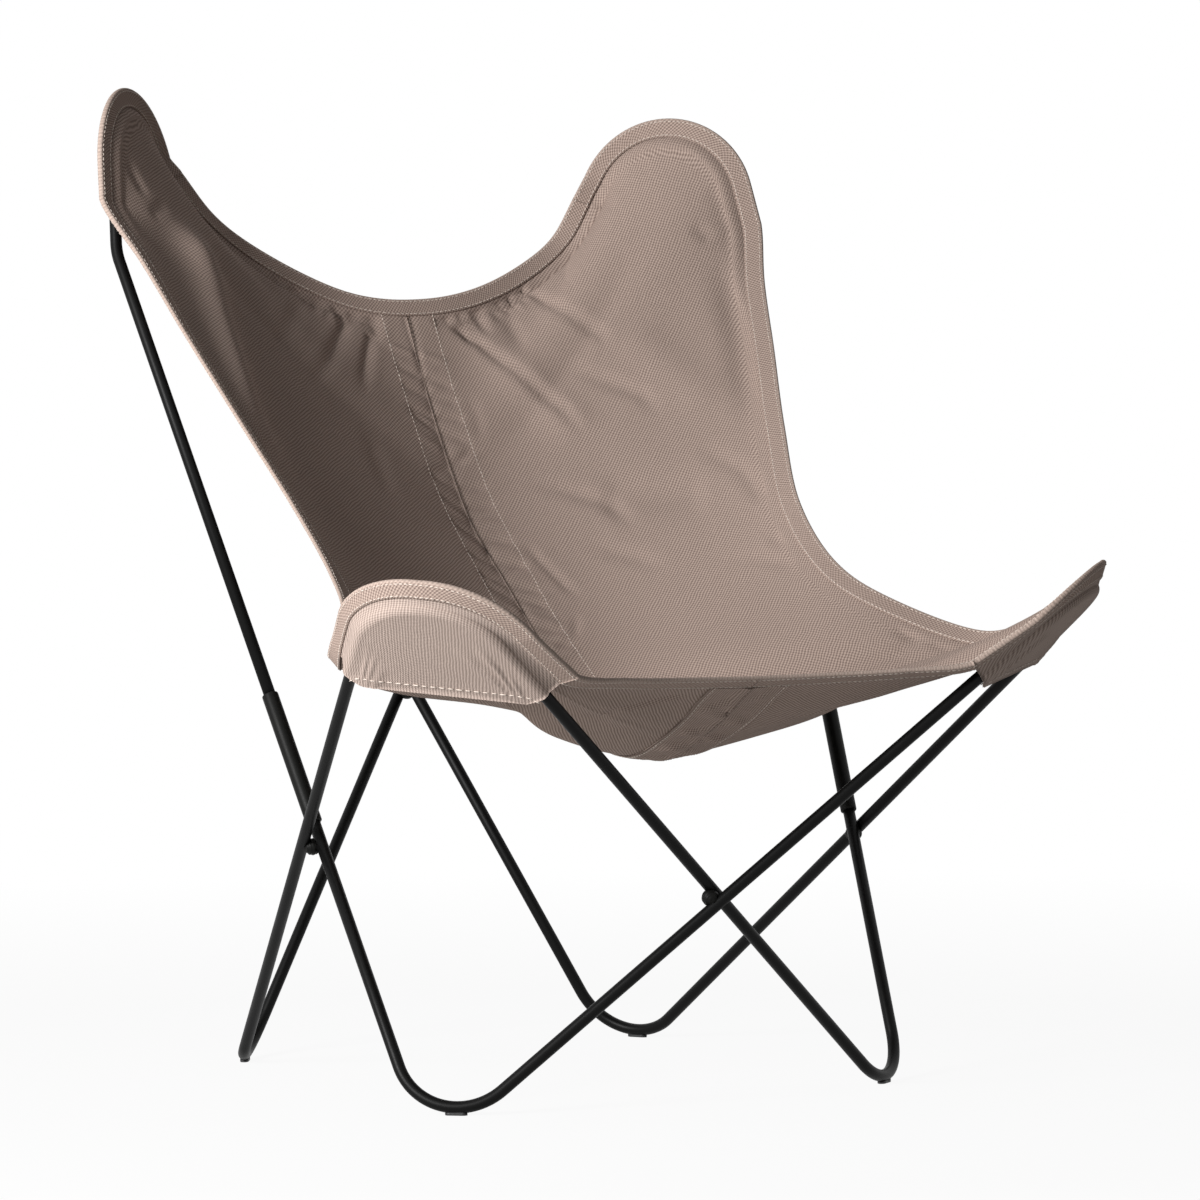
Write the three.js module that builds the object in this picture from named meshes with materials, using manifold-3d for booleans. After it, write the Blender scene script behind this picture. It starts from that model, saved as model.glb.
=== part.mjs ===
import * as THREE from 'three';
import { mergeVertices } from 'three/addons/utils/BufferGeometryUtils.js';
import Module from 'manifold-3d';

// A butterfly sling chair: two bent rods welded where they cross, two back hoops that plug into sockets,
// and a canvas sling whose four pockets slip over the hoops.
// Millimetres, +Z up, the floor at z = 0. The sitter looks along -Y. Side +1 is +X, side -1 is -X.

const wasm = await Module();
wasm.setup();

// Rods and the gap kept between pieces that touch
const rodDiameter = 11;
const rodSides = 12;
const bendSteps = 9;
const settleSteps = 12;
const pieceGap = 0.3;
const mergeDistance = 0.001;

// Frame. Spans, reaches and heights are those of the sharp corners that the bends round off.
const frontFootSpan = 492.5;
const footReach = 246;
const frontFootRadius = 59;
const backFootRadius = 58;
const pocketSpan = 766.2;
const pocketReach = 482.2;
const pocketHeight = 529.8;
const pocketHoopRadius = 67;
const hornSpan = 723;
const hornReach = 364.7;

// Back hoops: they fold forward above the sockets and stand almost upright. The left one stands higher.
// Their legs would meet at a sharp corner the run-out above the fold.
const foldHeight = 749;
const hornRunOut = 266.4;
const foldRadius = 60;
const hornHoopHeight = 127;
const hornHoopRadius = 61.5;
const hornLean = THREE.MathUtils.degToRad(6.5);
const leftHornSkew = 5;
const rightHornSkew = 13;
const leftHornRise = 12;
const rightHornRise = -12;

// Sockets, weld beads and floor glides
const socketDiameter = 15;
const socketLength = 130;
const socketStart = 13;
const socketRim = 1;
const socketSides = 20;
const insertDepth = 62;
const beadRadius = 7.5;
const beadReach = 9;
const glideLength = 20;
const glideWidth = 8;
const glideHeight = 5;
const glideSole = 1.5;
const glideCurveSteps = 6;

// Sling cloth: the seam runs outside the rod and the tape stands out from the seam
const clothThickness = 1.5;
const clothSlack = 0.95;
const tapeThickness = 0.8;
const tapeWidth = 19;
const tapeLap = 17.3;
const tapeTurn = THREE.MathUtils.degToRad(45);
const seamOffset = 10;
const seamLift = 11;
const pocketDepthFront = 236;
const pocketDepthRear = 223;
const hornMouthFront = 45;
const hornMouthRear = 71;
const hemInset = 25;
const foldWidth = 24;

// Steps of the sling's mesh
const frontSteps = 7;
const sideSteps = 11;
const backSteps = 6;
const mouthSteps = 2;
const ribSteps = 7;
const keySteps = 20;
const fadeSteps = 1.5;
const spinePullShare = 0.6;
const hoopPull = 60;
const fanShare = 0.5;
const overRodShares = [0, 0.32, 0.64, 1];
const middleTapeShares = [1 / 2, 1];

// Middle seam of the sling, from the front edge to the back edge
const seatFrontReach = 392;
const seatFrontHeight = 377;
const seatLowReach = 216;
const seatLowHeight = 304;
const backRestReach = 281;
const backRestDip = 49.5;
const middleTapeWidth = 60;
const middleTapeFrontWidth = 79;
const middleTapeGap = 0.6;

const rodRadius = rodDiameter / 2;
const hornHeight = foldHeight + hornRunOut;
const backRestHeight = foldHeight - backRestDip;
const corner = (x, y, z) => new THREE.Vector3(x, y, z);
const mirrored = (v) => new THREE.Vector3(-v.x, v.y, v.z);
const between = (a, b, share) => a.clone().lerp(b, share);
const direction = (from, to) => to.clone().sub(from).normalize();
const along = (from, dir, length) => from.clone().addScaledVector(dir, length);

// Each bend is a circular arc between two straight runs
function bend(before, tip, after, radius) {
  const toBefore = direction(tip, before);
  const toAfter = direction(tip, after);
  const bisector = toBefore.clone().add(toAfter).normalize();
  const halfAngle = toBefore.angleTo(toAfter) / 2;
  const tangent = radius / Math.tan(halfAngle);
  const centre = along(tip, bisector, radius / Math.sin(halfAngle));
  const start = along(tip, toBefore, tangent);
  const end = along(tip, toAfter, tangent);
  const [fromCentre, toCentre] = [start, end].map((point) => point.clone().sub(centre));
  const axis = new THREE.Vector3().crossVectors(fromCentre, toCentre).normalize();
  return { start, end, centre, radius, axis, sweep: Math.PI - 2 * halfAngle };
}

function arcPoint(arc, share) {
  return arc.start.clone().sub(arc.centre).applyAxisAngle(arc.axis, arc.sweep * share).add(arc.centre);
}

// Corners of one rod loop on the +X side; the left loop is its mirror image
const hornCorner = corner(hornSpan / 2, hornReach, hornHeight);
const pocketCorner = corner(pocketSpan / 2, -pocketReach, pocketHeight);
const frontFootCorner = corner(frontFootSpan / 2, -footReach, 0);
const backFootCorner = corner(frontFootSpan / 2, footReach, 0);

// The loops cross in front, behind and at both sides. Each loop is moved off the middle by the cross shift,
// until the rods only touch in front. A side carries the horn of one loop and the pocket of the other.
let crossShift = 0;
const onHornLoop = (v, side) => new THREE.Vector3(side * v.x, v.y + side * crossShift, v.z);
const onPocketLoop = (v, side) => new THREE.Vector3(side * v.x, v.y - side * crossShift, v.z);

// Nearest point of one leg to another leg
function crossingOn(startA, endA, startB, endB) {
  const u = direction(startA, endA);
  const v = direction(startB, endB);
  const w = startA.clone().sub(startB);
  const cosine = u.dot(v);
  const share = (cosine * v.dot(w) - u.dot(w)) / (1 - cosine ** 2);
  return along(startA, u, share);
}

// A foot's corner goes below the floor by as much as lets its arc clear the glide's sole
function lowestRodPoint(arc) {
  return arc.centre.z - arc.radius * Math.sqrt(1 - arc.axis.z ** 2) - rodRadius;
}

// How far out a back foot has to move for the side's two legs to touch where they cross
function footSlack(side) {
  const hornLeg = [onHornLoop(frontFootCorner, side), onHornLoop(hornCorner, side)];
  const pocketLeg = [onPocketLoop(pocketCorner, side), onPocketLoop(backFootCorner, side)];
  const inner = crossingOn(...hornLeg, ...pocketLeg);
  const outer = crossingOn(...pocketLeg, ...hornLeg);
  const share = outer.distanceTo(pocketLeg[0]) / pocketLeg[1].distanceTo(pocketLeg[0]);
  const offset = outer.clone().sub(inner);
  const distance = Math.sign(side * offset.x) * offset.length();
  return ((rodDiameter + pieceGap - distance) * distance) / (share * side * offset.x);
}

for (let pass = 0; pass < settleSteps; pass += 1) {
  const frontArc = bend(hornCorner, frontFootCorner, mirrored(pocketCorner), frontFootRadius);
  const backArc = bend(pocketCorner, backFootCorner, mirrored(hornCorner), backFootRadius);
  frontFootCorner.z += glideSole - lowestRodPoint(frontArc);
  backFootCorner.z += glideSole - lowestRodPoint(backArc);
  const frontLegDirection = direction(frontFootCorner, mirrored(pocketCorner));
  const normal = new THREE.Vector3().crossVectors(frontLegDirection, mirrored(frontLegDirection)).normalize();
  crossShift = (rodDiameter + pieceGap) / 2 / Math.abs(normal.y);
  backFootCorner.x += Math.max(footSlack(1), footSlack(-1));
}

// A rod's centre line, sampled once per straight end and bendSteps times per bend
class BentLine extends THREE.Curve {
  constructor(corners, radii, steps = bendSteps) {
    super();
    this.points = [corners[0]];
    this.tangents = [direction(corners[0], corners[1])];
    for (let i = 1; i < corners.length - 1; i += 1) {
      const arc = bend(corners[i - 1], corners[i], corners[i + 1], radii[i - 1]);
      const entering = direction(corners[i - 1], corners[i]);
      for (let step = 0; step <= steps; step += 1) {
        this.points.push(arcPoint(arc, step / steps));
        this.tangents.push(entering.clone().applyAxisAngle(arc.axis, (arc.sweep * step) / steps));
      }
    }
    this.points.push(corners.at(-1));
    this.tangents.push(direction(corners.at(-2), corners.at(-1)));
    this.steps = this.points.length - 1;
  }

  getPoint(t) {
    return this.points[Math.round(t * this.steps)].clone();
  }

  getPointAt(t) {
    return this.getPoint(t);
  }

  getTangent(t) {
    return this.tangents[Math.round(t * this.steps)].clone();
  }

  getTangentAt(t) {
    return this.getTangent(t);
  }
}

function roundSection(radius, sides) {
  const points = [];
  for (let i = 0; i < sides; i += 1) {
    const angle = (2 * Math.PI * i) / sides;
    points.push(new THREE.Vector2(radius * Math.cos(angle), radius * Math.sin(angle)));
  }
  return new THREE.Shape(points);
}

function rodAlong(line, radius = rodRadius) {
  return new THREE.ExtrudeGeometry(roundSection(radius, rodSides), { extrudePath: line, steps: line.steps });
}

// Materials
const powderCoat = () => new THREE.MeshStandardMaterial({ color: 0x161616, roughness: 0.42, metalness: 0.2 });
const weldMetal = () => new THREE.MeshStandardMaterial({ color: 0x1b1b1c, roughness: 0.5, metalness: 0.2 });
const glidePlastic = () => new THREE.MeshStandardMaterial({ color: 0x101010, roughness: 0.6, metalness: 0 });
const canvas = () => new THREE.MeshStandardMaterial({ color: 0x8f8075, roughness: 0.95, metalness: 0 });
const tapeCanvas = () => new THREE.MeshStandardMaterial({ color: 0x85766b, roughness: 0.95, metalness: 0 });

const chair = new THREE.Group();
function add(name, geometry, material) {
  const mesh = new THREE.Mesh(geometry, material);
  mesh.name = name;
  chair.add(mesh);
  return mesh;
}

// Booleans on closed meshes
function toSolid(geometry) {
  const plain = geometry.clone();
  plain.deleteAttribute('normal');
  plain.deleteAttribute('uv');
  const merged = mergeVertices(plain, mergeDistance);
  const vertProperties = new Float32Array(merged.attributes.position.array);
  const triVerts = new Uint32Array(merged.index.array);
  return new wasm.Manifold(new wasm.Mesh({ numProp: 3, vertProperties, triVerts }));
}

function toGeometry(solid) {
  const { vertProperties, triVerts, numProp } = solid.getMesh();
  const positions = new Float32Array((vertProperties.length / numProp) * 3);
  for (let i = 0; i < positions.length / 3; i += 1) {
    positions.set(vertProperties.slice(i * numProp, i * numProp + 3), i * 3);
  }
  const geometry = new THREE.BufferGeometry();
  geometry.setAttribute('position', new THREE.BufferAttribute(positions, 3));
  geometry.setIndex(new THREE.BufferAttribute(new Uint32Array(triVerts), 1));
  geometry.computeVertexNormals();
  return geometry;
}

function largestPiece(solid) {
  return solid.decompose().sort((a, b) => b.volume() - a.volume())[0];
}

// Sharp corners of the loop that carries a side's horn
function hornLegs(side) {
  return {
    tip: onHornLoop(hornCorner, side),
    front: onHornLoop(frontFootCorner, side),
    rear: onHornLoop(mirrored(backFootCorner), side),
  };
}

function sockets(side) {
  const { tip, front, rear } = hornLegs(side);
  const pocketTip = onPocketLoop(pocketCorner, side);
  const sideCrossing = crossingOn(front, tip, pocketTip, onPocketLoop(backFootCorner, side));
  const other = hornLegs(-side);
  const rearCrossing = crossingOn(rear, tip, other.rear, other.tip);
  const make = (crossing) => {
    const axis = direction(crossing, tip);
    const bottom = along(crossing, axis, socketStart);
    return { axis, bottom, top: along(bottom, axis, socketLength) };
  };
  return { sideSocket: make(sideCrossing), rearSocket: make(rearCrossing) };
}

function levelOn(from, to, height) {
  return between(from, to, (height - from.z) / (to.z - from.z));
}

// Height of the sharp corner over a base of this half width whose rounded corner stands at this height
function sharpPeak(halfWidth, radius, height) {
  const excess = radius - height;
  const a = (radius / halfWidth) ** 2 - 1;
  const c = radius ** 2 - excess ** 2;
  return (excess - Math.sqrt(excess ** 2 - a * c)) / a;
}

// The fold line of a back hoop and the sharp corner of its top
const hornRise = (side) => (side > 0 ? rightHornRise : leftHornRise);
const hornSkew = (side) => (side > 0 ? rightHornSkew : leftHornSkew);
function hornFrame(side) {
  const { tip, front, rear } = hornLegs(side);
  const height = foldHeight + hornRise(side);
  const foldFront = levelOn(tip, front, height);
  const foldRear = levelOn(tip, rear, height);
  const across = direction(foldFront, foldRear);
  const backward = new THREE.Vector3(side * across.y, -side * across.x, 0);
  const up = new THREE.Vector3(0, 0, 1).applyAxisAngle(
    new THREE.Vector3().crossVectors(new THREE.Vector3(0, 0, 1), backward).normalize(),
    hornLean,
  );
  const middle = between(foldFront, foldRear, 1 / 2);
  const peakHeight = sharpPeak(foldFront.distanceTo(foldRear) / 2, hornHoopRadius, hornHoopHeight);
  return { foldFront, foldRear, peak: along(along(middle, up, peakHeight), across, -hornSkew(side)) };
}

function lowerRod(side) {
  const { sideSocket, rearSocket } = sockets(side);
  return new BentLine(
    [
      along(sideSocket.bottom, sideSocket.axis, insertDepth),
      onHornLoop(frontFootCorner, side),
      onPocketLoop(pocketCorner, -side),
      onPocketLoop(backFootCorner, -side),
      along(rearSocket.bottom, rearSocket.axis, insertDepth),
    ],
    [frontFootRadius, pocketHoopRadius, backFootRadius],
  );
}

function backHoop(side) {
  const { sideSocket, rearSocket } = sockets(side);
  const { foldFront, foldRear, peak } = hornFrame(side);
  return new BentLine(
    [
      along(sideSocket.top, sideSocket.axis, -insertDepth),
      foldFront,
      peak,
      foldRear,
      along(rearSocket.top, rearSocket.axis, -insertDepth),
    ],
    [foldRadius, hornHoopRadius, foldRadius],
  );
}

// Turns a shape that stands along +Y to stand along the axis
const turnTo = (axis) => new THREE.Quaternion().setFromUnitVectors(new THREE.Vector3(0, 1, 0), axis);

function socket({ axis, bottom }) {
  const bore = rodRadius + pieceGap;
  const outer = socketDiameter / 2;
  const outline = [
    new THREE.Vector2(bore, 0),
    new THREE.Vector2(outer - socketRim, 0),
    new THREE.Vector2(outer, socketRim),
    new THREE.Vector2(outer, socketLength - socketRim),
    new THREE.Vector2(outer - socketRim, socketLength),
    new THREE.Vector2(bore, socketLength),
    new THREE.Vector2(bore, 0),
  ];
  const geometry = new THREE.LatheGeometry(outline, socketSides);
  return geometry.applyQuaternion(turnTo(axis)).translate(bottom.x, bottom.y, bottom.z);
}

// A weld bead fills the crotch between two crossing rods on one side of the crossing
function bead(legA, legB, towards) {
  const pointA = crossingOn(legA[0], legA[1], legB[0], legB[1]);
  const pointB = crossingOn(legB[0], legB[1], legA[0], legA[1]);
  const centre = along(between(pointA, pointB, 1 / 2), towards, beadReach);
  const lump = new THREE.SphereGeometry(beadRadius, rodSides, rodSides / 2);
  lump.applyQuaternion(turnTo(direction(pointA, pointB))).translate(centre.x, centre.y, centre.z);
  const solid = toSolid(lump);
  const clear = rodRadius + pieceGap;
  const rods = [legA, legB].map((leg) => toSolid(rodAlong(new BentLine(leg, []), clear)));
  return toGeometry(largestPiece(rods.reduce((left, rod) => left.subtract(rod), solid)));
}

// A glide is a flat-soled saddle under the lowest point of a foot
function glide(arc) {
  const lowest = new THREE.Vector3(0, 0, -1).addScaledVector(arc.axis, arc.axis.z).normalize();
  const point = along(arc.centre, lowest, arc.radius);
  const heading = Math.atan2(-arc.axis.x, arc.axis.y);
  const outline = new THREE.Shape();
  const half = glideWidth / 2;
  const straight = glideLength / 2 - half;
  outline.absarc(straight, 0, half, -Math.PI / 2, Math.PI / 2);
  outline.absarc(-straight, 0, half, Math.PI / 2, (3 * Math.PI) / 2);
  const pad = new THREE.ExtrudeGeometry(outline, {
    depth: glideHeight,
    bevelEnabled: false,
    curveSegments: glideCurveSteps,
  });
  pad.rotateZ(heading).translate(point.x, point.y, 0);
  const foot = new BentLine([arc.start, arc.tip, arc.end], [arc.radius], 2 * bendSteps);
  return toGeometry(largestPiece(toSolid(pad).subtract(toSolid(rodAlong(foot, rodRadius + pieceGap)))));
}

function footArc(before, tip, after, radius) {
  return { ...bend(before, tip, after, radius), tip };
}

for (const [side, word] of [[1, 'right'], [-1, 'left']]) {
  add(`lower_rod_${word}`, rodAlong(lowerRod(side)), powderCoat());
  add(`back_hoop_${word}`, rodAlong(backHoop(side)), powderCoat());
  const { sideSocket, rearSocket } = sockets(side);
  add(`side_socket_${word}`, socket(sideSocket), powderCoat());
  add(`rear_socket_${word}`, socket(rearSocket), powderCoat());
  const frontArc = footArc(
    onHornLoop(hornCorner, side),
    onHornLoop(frontFootCorner, side),
    onPocketLoop(pocketCorner, -side),
    frontFootRadius,
  );
  const backArc = footArc(
    onPocketLoop(pocketCorner, side),
    onPocketLoop(backFootCorner, side),
    onHornLoop(hornCorner, -side),
    backFootRadius,
  );
  add(`front_glide_${word}`, glide(frontArc), glidePlastic());
  add(`back_glide_${word}`, glide(backArc), glidePlastic());
}

// Weld beads
const rightLegs = hornLegs(1);
const leftLegs = hornLegs(-1);
const frontLegRight = [rightLegs.front, onPocketLoop(pocketCorner, -1)];
const frontLegLeft = [leftLegs.front, onPocketLoop(pocketCorner, 1)];
add('front_weld', bead(frontLegRight, frontLegLeft, new THREE.Vector3(-1, 0, 0)), weldMetal());
add(
  'back_weld',
  bead([rightLegs.tip, rightLegs.rear], [leftLegs.tip, leftLegs.rear], new THREE.Vector3(0, 0, -1)),
  weldMetal(),
);
for (const [side, word] of [[1, 'right'], [-1, 'left']]) {
  const { tip, front } = hornLegs(side);
  const legDown = [onPocketLoop(pocketCorner, side), onPocketLoop(backFootCorner, side)];
  const crotch = direction(tip, front).add(direction(legDown[0], legDown[1])).normalize();
  add(`side_weld_${word}`, bead([tip, front], legDown, crotch), weldMetal());
}

// Sling cloth
// Places on the free edges are shares of the hoop that the edge runs up to: the front and side edges follow
// the pocket's corner, the back edge the horn's, and all of them the horn's height.
const fanReach = (fanShare * pocketSpan) / 2;
const unit = ([x, y, z]) => corner(x, y, z).normalize();
const mix = (a, b, share) => a + (b - a) * share;
const halfCloth = clothThickness / 2;
const layerOffset = (clothThickness + pieceGap) / 2;
const rodClear = rodRadius + halfCloth + clothSlack;

// The middle seam runs down from the front edge to the seat's low point and up the back
const seatSagShares = [[1, 1], [0.76, 0.66], [0.44, 0.3], [0.22, 0.08]];
const backRiseShares = [
  [0, 0], [0.13, 0.025], [0.27, 0.1], [0.37, 0.175], [0.475, 0.266], [0.59, 0.375],
  [0.73, 0.51], [0.855, 0.705], [0.94, 0.87], [1, 1],
];
const middleSeam = new THREE.CatmullRomCurve3([
  ...seatSagShares.map(([y, z]) =>
    corner(0, mix(-seatLowReach, -seatFrontReach, y), mix(seatLowHeight, seatFrontHeight, z))),
  ...backRiseShares.map(([y, z]) =>
    corner(0, mix(-seatLowReach, backRestReach, y), mix(seatLowHeight, backRestHeight, z))),
]);

// Keys of the free edges: where the seam lies, which way its tape points, and which share of the middle
// seam its rib starts from. They run from the middle of the front edge round to the middle of the back edge.
const frontEdgeShares = [
  { at: [0, -0.812, 0.3704], out: [0, -0.9, 0.43], spine: 0.065, rise: 0 },
  { at: [0.186, -0.822, 0.3716], out: [-0.06, -0.9, 0.42], spine: 0.08, rise: 0 },
  { at: [0.352, -0.849, 0.3743], out: [-0.15, -0.91, 0.39], spine: 0.105, rise: 0 },
];
const sideEdgeShares = [
  { at: [0.837, -0.515, 0.388], out: [0.5, 0.45, 0.74], spine: 0.4, rise: 0 },
  { at: [0.674, -0.309, 0.4232], out: [0.83, 0.09, 0.55], spine: 0.46, rise: 0.05 },
  { at: [0.633, -0.179, 0.4524], out: [0.8, -0.15, 0.58], spine: 0.5, rise: 0.1 },
  { at: [0.643, -0.024, 0.5074], out: [0.74, -0.45, 0.5], spine: 0.545, rise: 0.25 },
  { at: [0.704, 0.122, 0.5828], out: [0.7, -0.61, 0.37], spine: 0.6, rise: 0.45 },
  { at: [0.769, 0.251, 0.658], out: [0.73, -0.6, 0.33], spine: 0.655, rise: 0.65 },
  { at: [0.824, 0.364, 0.7271], out: [0.8, -0.57, 0.2], spine: 0.7, rise: 0.85 },
];
const backEdgeShares = [
  { at: [0.5532, 0.8713, 0.771], out: [-0.757, 0.624, 0.194], spine: 0.885, rise: 0.9 },
  { at: [0.4451, 0.8449, 0.74], out: [-0.624, 0.539, 0.566], spine: 0.9, rise: 0.7 },
  { at: [0.2920, 0.8086, 0.711], out: [-0.22, 0.51, 0.83], spine: 0.915, rise: 0.4 },
  { at: [0.1431, 0.7818, 0.6938], out: [-0.08, 0.51, 0.86], spine: 0.93, rise: 0.1 },
];
const backMiddleShares = {
  at: [0, backRestReach / hornReach, backRestHeight / hornHeight],
  out: [0, 0.51, 0.86],
  spine: 0.935,
  rise: 0,
};

// Along a hoop the seam's distance outside the rod, its lift to the sitter's side and the turn of the
// tape out of the hoop's plane go from the first mouth, past both ends of the arc and its top, to the last
const pocketSeamShares = {
  out: [1.7, 1.7, 1, 1, 1],
  lift: [0.75, 0.1, 0, 0.5, 1],
  turn: [0.1, 0, 0.65, 0.9, 1],
  spine: [0.13, 0.16, 0.24, 0.32, 0.37],
};
const hornSeamShares = {
  out: [1, 1, 1, 0.95, 0.9],
  lift: [0, 0, 0, 0.1, 0.8],
  turn: [-0.2, -0.25, 0, 0.35, 0.61],
  spine: [0.73, 0.75, 0.8, 0.85, 0.87],
};

function seamKey({ at, out, spine, rise }, side, hoopSpan, hoopReach) {
  const [x, y, z] = at;
  const point = corner((side * x * hoopSpan) / 2, y * hoopReach, z * hornHeight);
  point.y += side * crossShift * mix(-1, 1, rise) * Math.min(1, Math.abs(point.x) / fanReach);
  point.z += rise * hornRise(side);
  const outward = unit(out);
  outward.x *= side;
  return { point, outward, spine };
}

// Stations at even distances through a list of keys; the lead keys only steer the curve's ends
function evenStations(keys, count, leadIn, leadOut) {
  const all = [leadIn, ...keys, leadOut];
  const curve = new THREE.CatmullRomCurve3(all.map((key) => key.point));
  const spans = all.length - 1;
  const fineSteps = keys.length * keySteps;
  const samples = [];
  for (let i = 0; i <= fineSteps; i += 1) {
    const t = 1 + ((keys.length - 1) * i) / fineSteps;
    const point = curve.getPoint(t / spans);
    const length = i ? samples.at(-1).length + point.distanceTo(samples.at(-1).point) : 0;
    samples.push({ t, point, length });
  }
  const stations = [];
  for (let i = 0; i <= count; i += 1) {
    const wanted = (samples.at(-1).length * i) / count;
    const index = Math.min(samples.findLastIndex((sample) => sample.length <= wanted), fineSteps - 1);
    const [a, b] = [samples[index], samples[index + 1]];
    const t = mix(a.t, b.t, (wanted - a.length) / (b.length - a.length));
    const from = Math.min(Math.floor(t), spans - 1);
    const share = t - from;
    const smooth = share * share * (3 - 2 * share);
    stations.push({
      point: curve.getPoint(t / spans),
      outward: between(all[from].outward, all[from + 1].outward, mix(share, smooth, 1 / 2)).normalize(),
      spine: mix(all[from].spine, all[from + 1].spine, share),
    });
  }
  return stations;
}

// Stations round a hoop from mouth to mouth, at the steps where the rod's own line is sampled
function hoopStations(arc, mouths, shares, inside) {
  const normal = arc.axis.clone();
  if (normal.dot(inside.clone().sub(arc.centre)) < 0) normal.negate();
  const rodPoints = [];
  const straight = (from, to, steps) => {
    for (let i = 0; i < steps; i += 1) rodPoints.push(between(from, to, i / steps));
  };
  straight(mouths[0], arc.start, mouthSteps);
  for (let i = 0; i <= bendSteps; i += 1) rodPoints.push(arcPoint(arc, i / bendSteps));
  const after = [];
  for (let i = 1; i <= mouthSteps; i += 1) after.push(between(arc.end, mouths[1], i / mouthSteps));
  rodPoints.push(...after);
  const arcEnd = mouthSteps + bendSteps;
  const knots = [0, mouthSteps, mouthSteps + bendSteps / 2, arcEnd, arcEnd + mouthSteps];
  const valueAt = (values, i) => {
    const k = Math.min(knots.findLastIndex((knot) => knot <= i), knots.length - 2);
    return mix(values[k], values[k + 1], (i - knots[k]) / (knots[k + 1] - knots[k]));
  };
  const startOut = direction(arc.centre, arc.start);
  return rodPoints.map((rod, i) => {
    const turnShare = Math.min(Math.max((i - mouthSteps) / bendSteps, 0), 1);
    const outward = startOut.clone().applyAxisAngle(arc.axis, arc.sweep * turnShare);
    const lift = seamLift * valueAt(shares.lift, i);
    const out = seamOffset * valueAt(shares.out, i);
    const turn = tapeTurn * valueAt(shares.turn, i);
    const tape = outward.clone().multiplyScalar(Math.cos(turn)).addScaledVector(normal, Math.sin(turn));
    const point = along(along(rod, outward, out), normal, lift);
    return { point, rod, outward, normal, tape, turn, out, lift, spine: valueAt(shares.spine, i), hooped: 1 };
  });
}

function slingStations(side) {
  const inside = corner(0, 0, foldHeight);
  const pocketTip = onPocketLoop(pocketCorner, side);
  const frontFoot = onPocketLoop(mirrored(frontFootCorner), side);
  const backFoot = onPocketLoop(backFootCorner, side);
  const pocketArc = bend(frontFoot, pocketTip, backFoot, pocketHoopRadius);
  const pocketMouths = [
    along(pocketTip, direction(pocketTip, frontFoot), pocketDepthFront),
    along(pocketTip, direction(pocketTip, backFoot), pocketDepthRear),
  ];
  const { foldFront, foldRear, peak } = hornFrame(side);
  const hornArc = bend(foldFront, peak, foldRear, hornHoopRadius);
  const hornMouths = [
    along(foldFront, direction(foldFront, peak), hornMouthFront),
    along(foldRear, direction(foldRear, peak), hornMouthRear),
  ];
  const pocket = hoopStations(pocketArc, pocketMouths, pocketSeamShares, inside);
  const horn = hoopStations(hornArc, hornMouths, hornSeamShares, inside);
  const asKey = (station) => ({ point: station.point, outward: station.tape, spine: station.spine });
  const byPocket = (shares) => shares.map((key) => seamKey(key, side, pocketSpan, pocketReach));
  const byHorn = (shares) => shares.map((key) => seamKey(key, side, hornSpan, hornReach));
  const frontKeys = [...byPocket(frontEdgeShares), asKey(pocket[0])];
  const sideKeys = [asKey(pocket.at(-1)), ...byPocket(sideEdgeShares), asKey(horn[0])];
  const backKeys = [asKey(horn.at(-1)), ...byHorn([...backEdgeShares, backMiddleShares])];
  const mirrorKey = (key) => ({ ...key, point: mirrored(key.point), outward: mirrored(key.outward) });
  const front = evenStations(frontKeys, frontSteps, mirrorKey(frontKeys[1]), asKey(pocket[1]));
  const sideEdge = evenStations(sideKeys, sideSteps, asKey(pocket.at(-2)), asKey(horn[1]));
  const back = evenStations(backKeys, backSteps, asKey(horn.at(-2)), mirrorKey(backKeys.at(-2)));
  const marks = {
    pocket: [frontSteps, frontSteps + pocket.length - 1],
    horn: [frontSteps + pocket.length - 1 + sideSteps],
  };
  marks.horn.push(marks.horn[0] + horn.length - 1);
  const stations = [...front.slice(0, -1), ...pocket, ...sideEdge.slice(1, -1), ...horn, ...back.slice(1)];
  return { stations: withFrames(stations, side, marks), marks };
}

// Each station gets the sitter's-side normals of its tape and of its cloth, and a hoop weight that fades
// out just past the mouths
function withFrames(stations, side, marks) {
  return stations.map((station, i) => {
    const before = stations[Math.max(i - 1, 0)].point;
    const after = stations[Math.min(i + 1, stations.length - 1)].point;
    const run = direction(before, after).multiplyScalar(side);
    if (i === 0 || i === stations.length - 1) run.set(Math.sign(run.x), 0, 0);
    const tape = station.tape ?? station.outward;
    const normalOf = (outward) => new THREE.Vector3().crossVectors(outward, run).normalize();
    const tapeNormal = station.hooped
      ? station.normal.clone().multiplyScalar(Math.cos(station.turn))
        .addScaledVector(station.outward, -Math.sin(station.turn))
      : normalOf(tape);
    const normal = station.normal ?? tapeNormal;
    const gap = Math.min(...[...marks.pocket, ...marks.horn].map((mark) => Math.abs(mark - i)));
    const hooped = station.hooped ?? Math.max(0, 1 - gap / fadeSteps);
    const spinePoint = middleSeam.getPointAt(station.spine);
    const spineRun = middleSeam.getTangentAt(station.spine);
    const sideways = Math.min(1, Math.abs(station.point.x) / fanReach);
    const heading = station.point.y < spinePoint.y ? -1 : 1;
    const start = spineRun.multiplyScalar(heading * Math.cos((sideways * Math.PI) / 2));
    start.x = side * Math.sin((sideways * Math.PI) / 2);
    const seamNormal = tapeNormal.clone().add(normal).multiplyScalar(1 / (1 + tapeNormal.dot(normal)));
    start.normalize();
    return { lift: 0, turn: 0, ...station, tape, tapeNormal, normal, seamNormal, hooped, spinePoint, start };
  });
}

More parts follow.
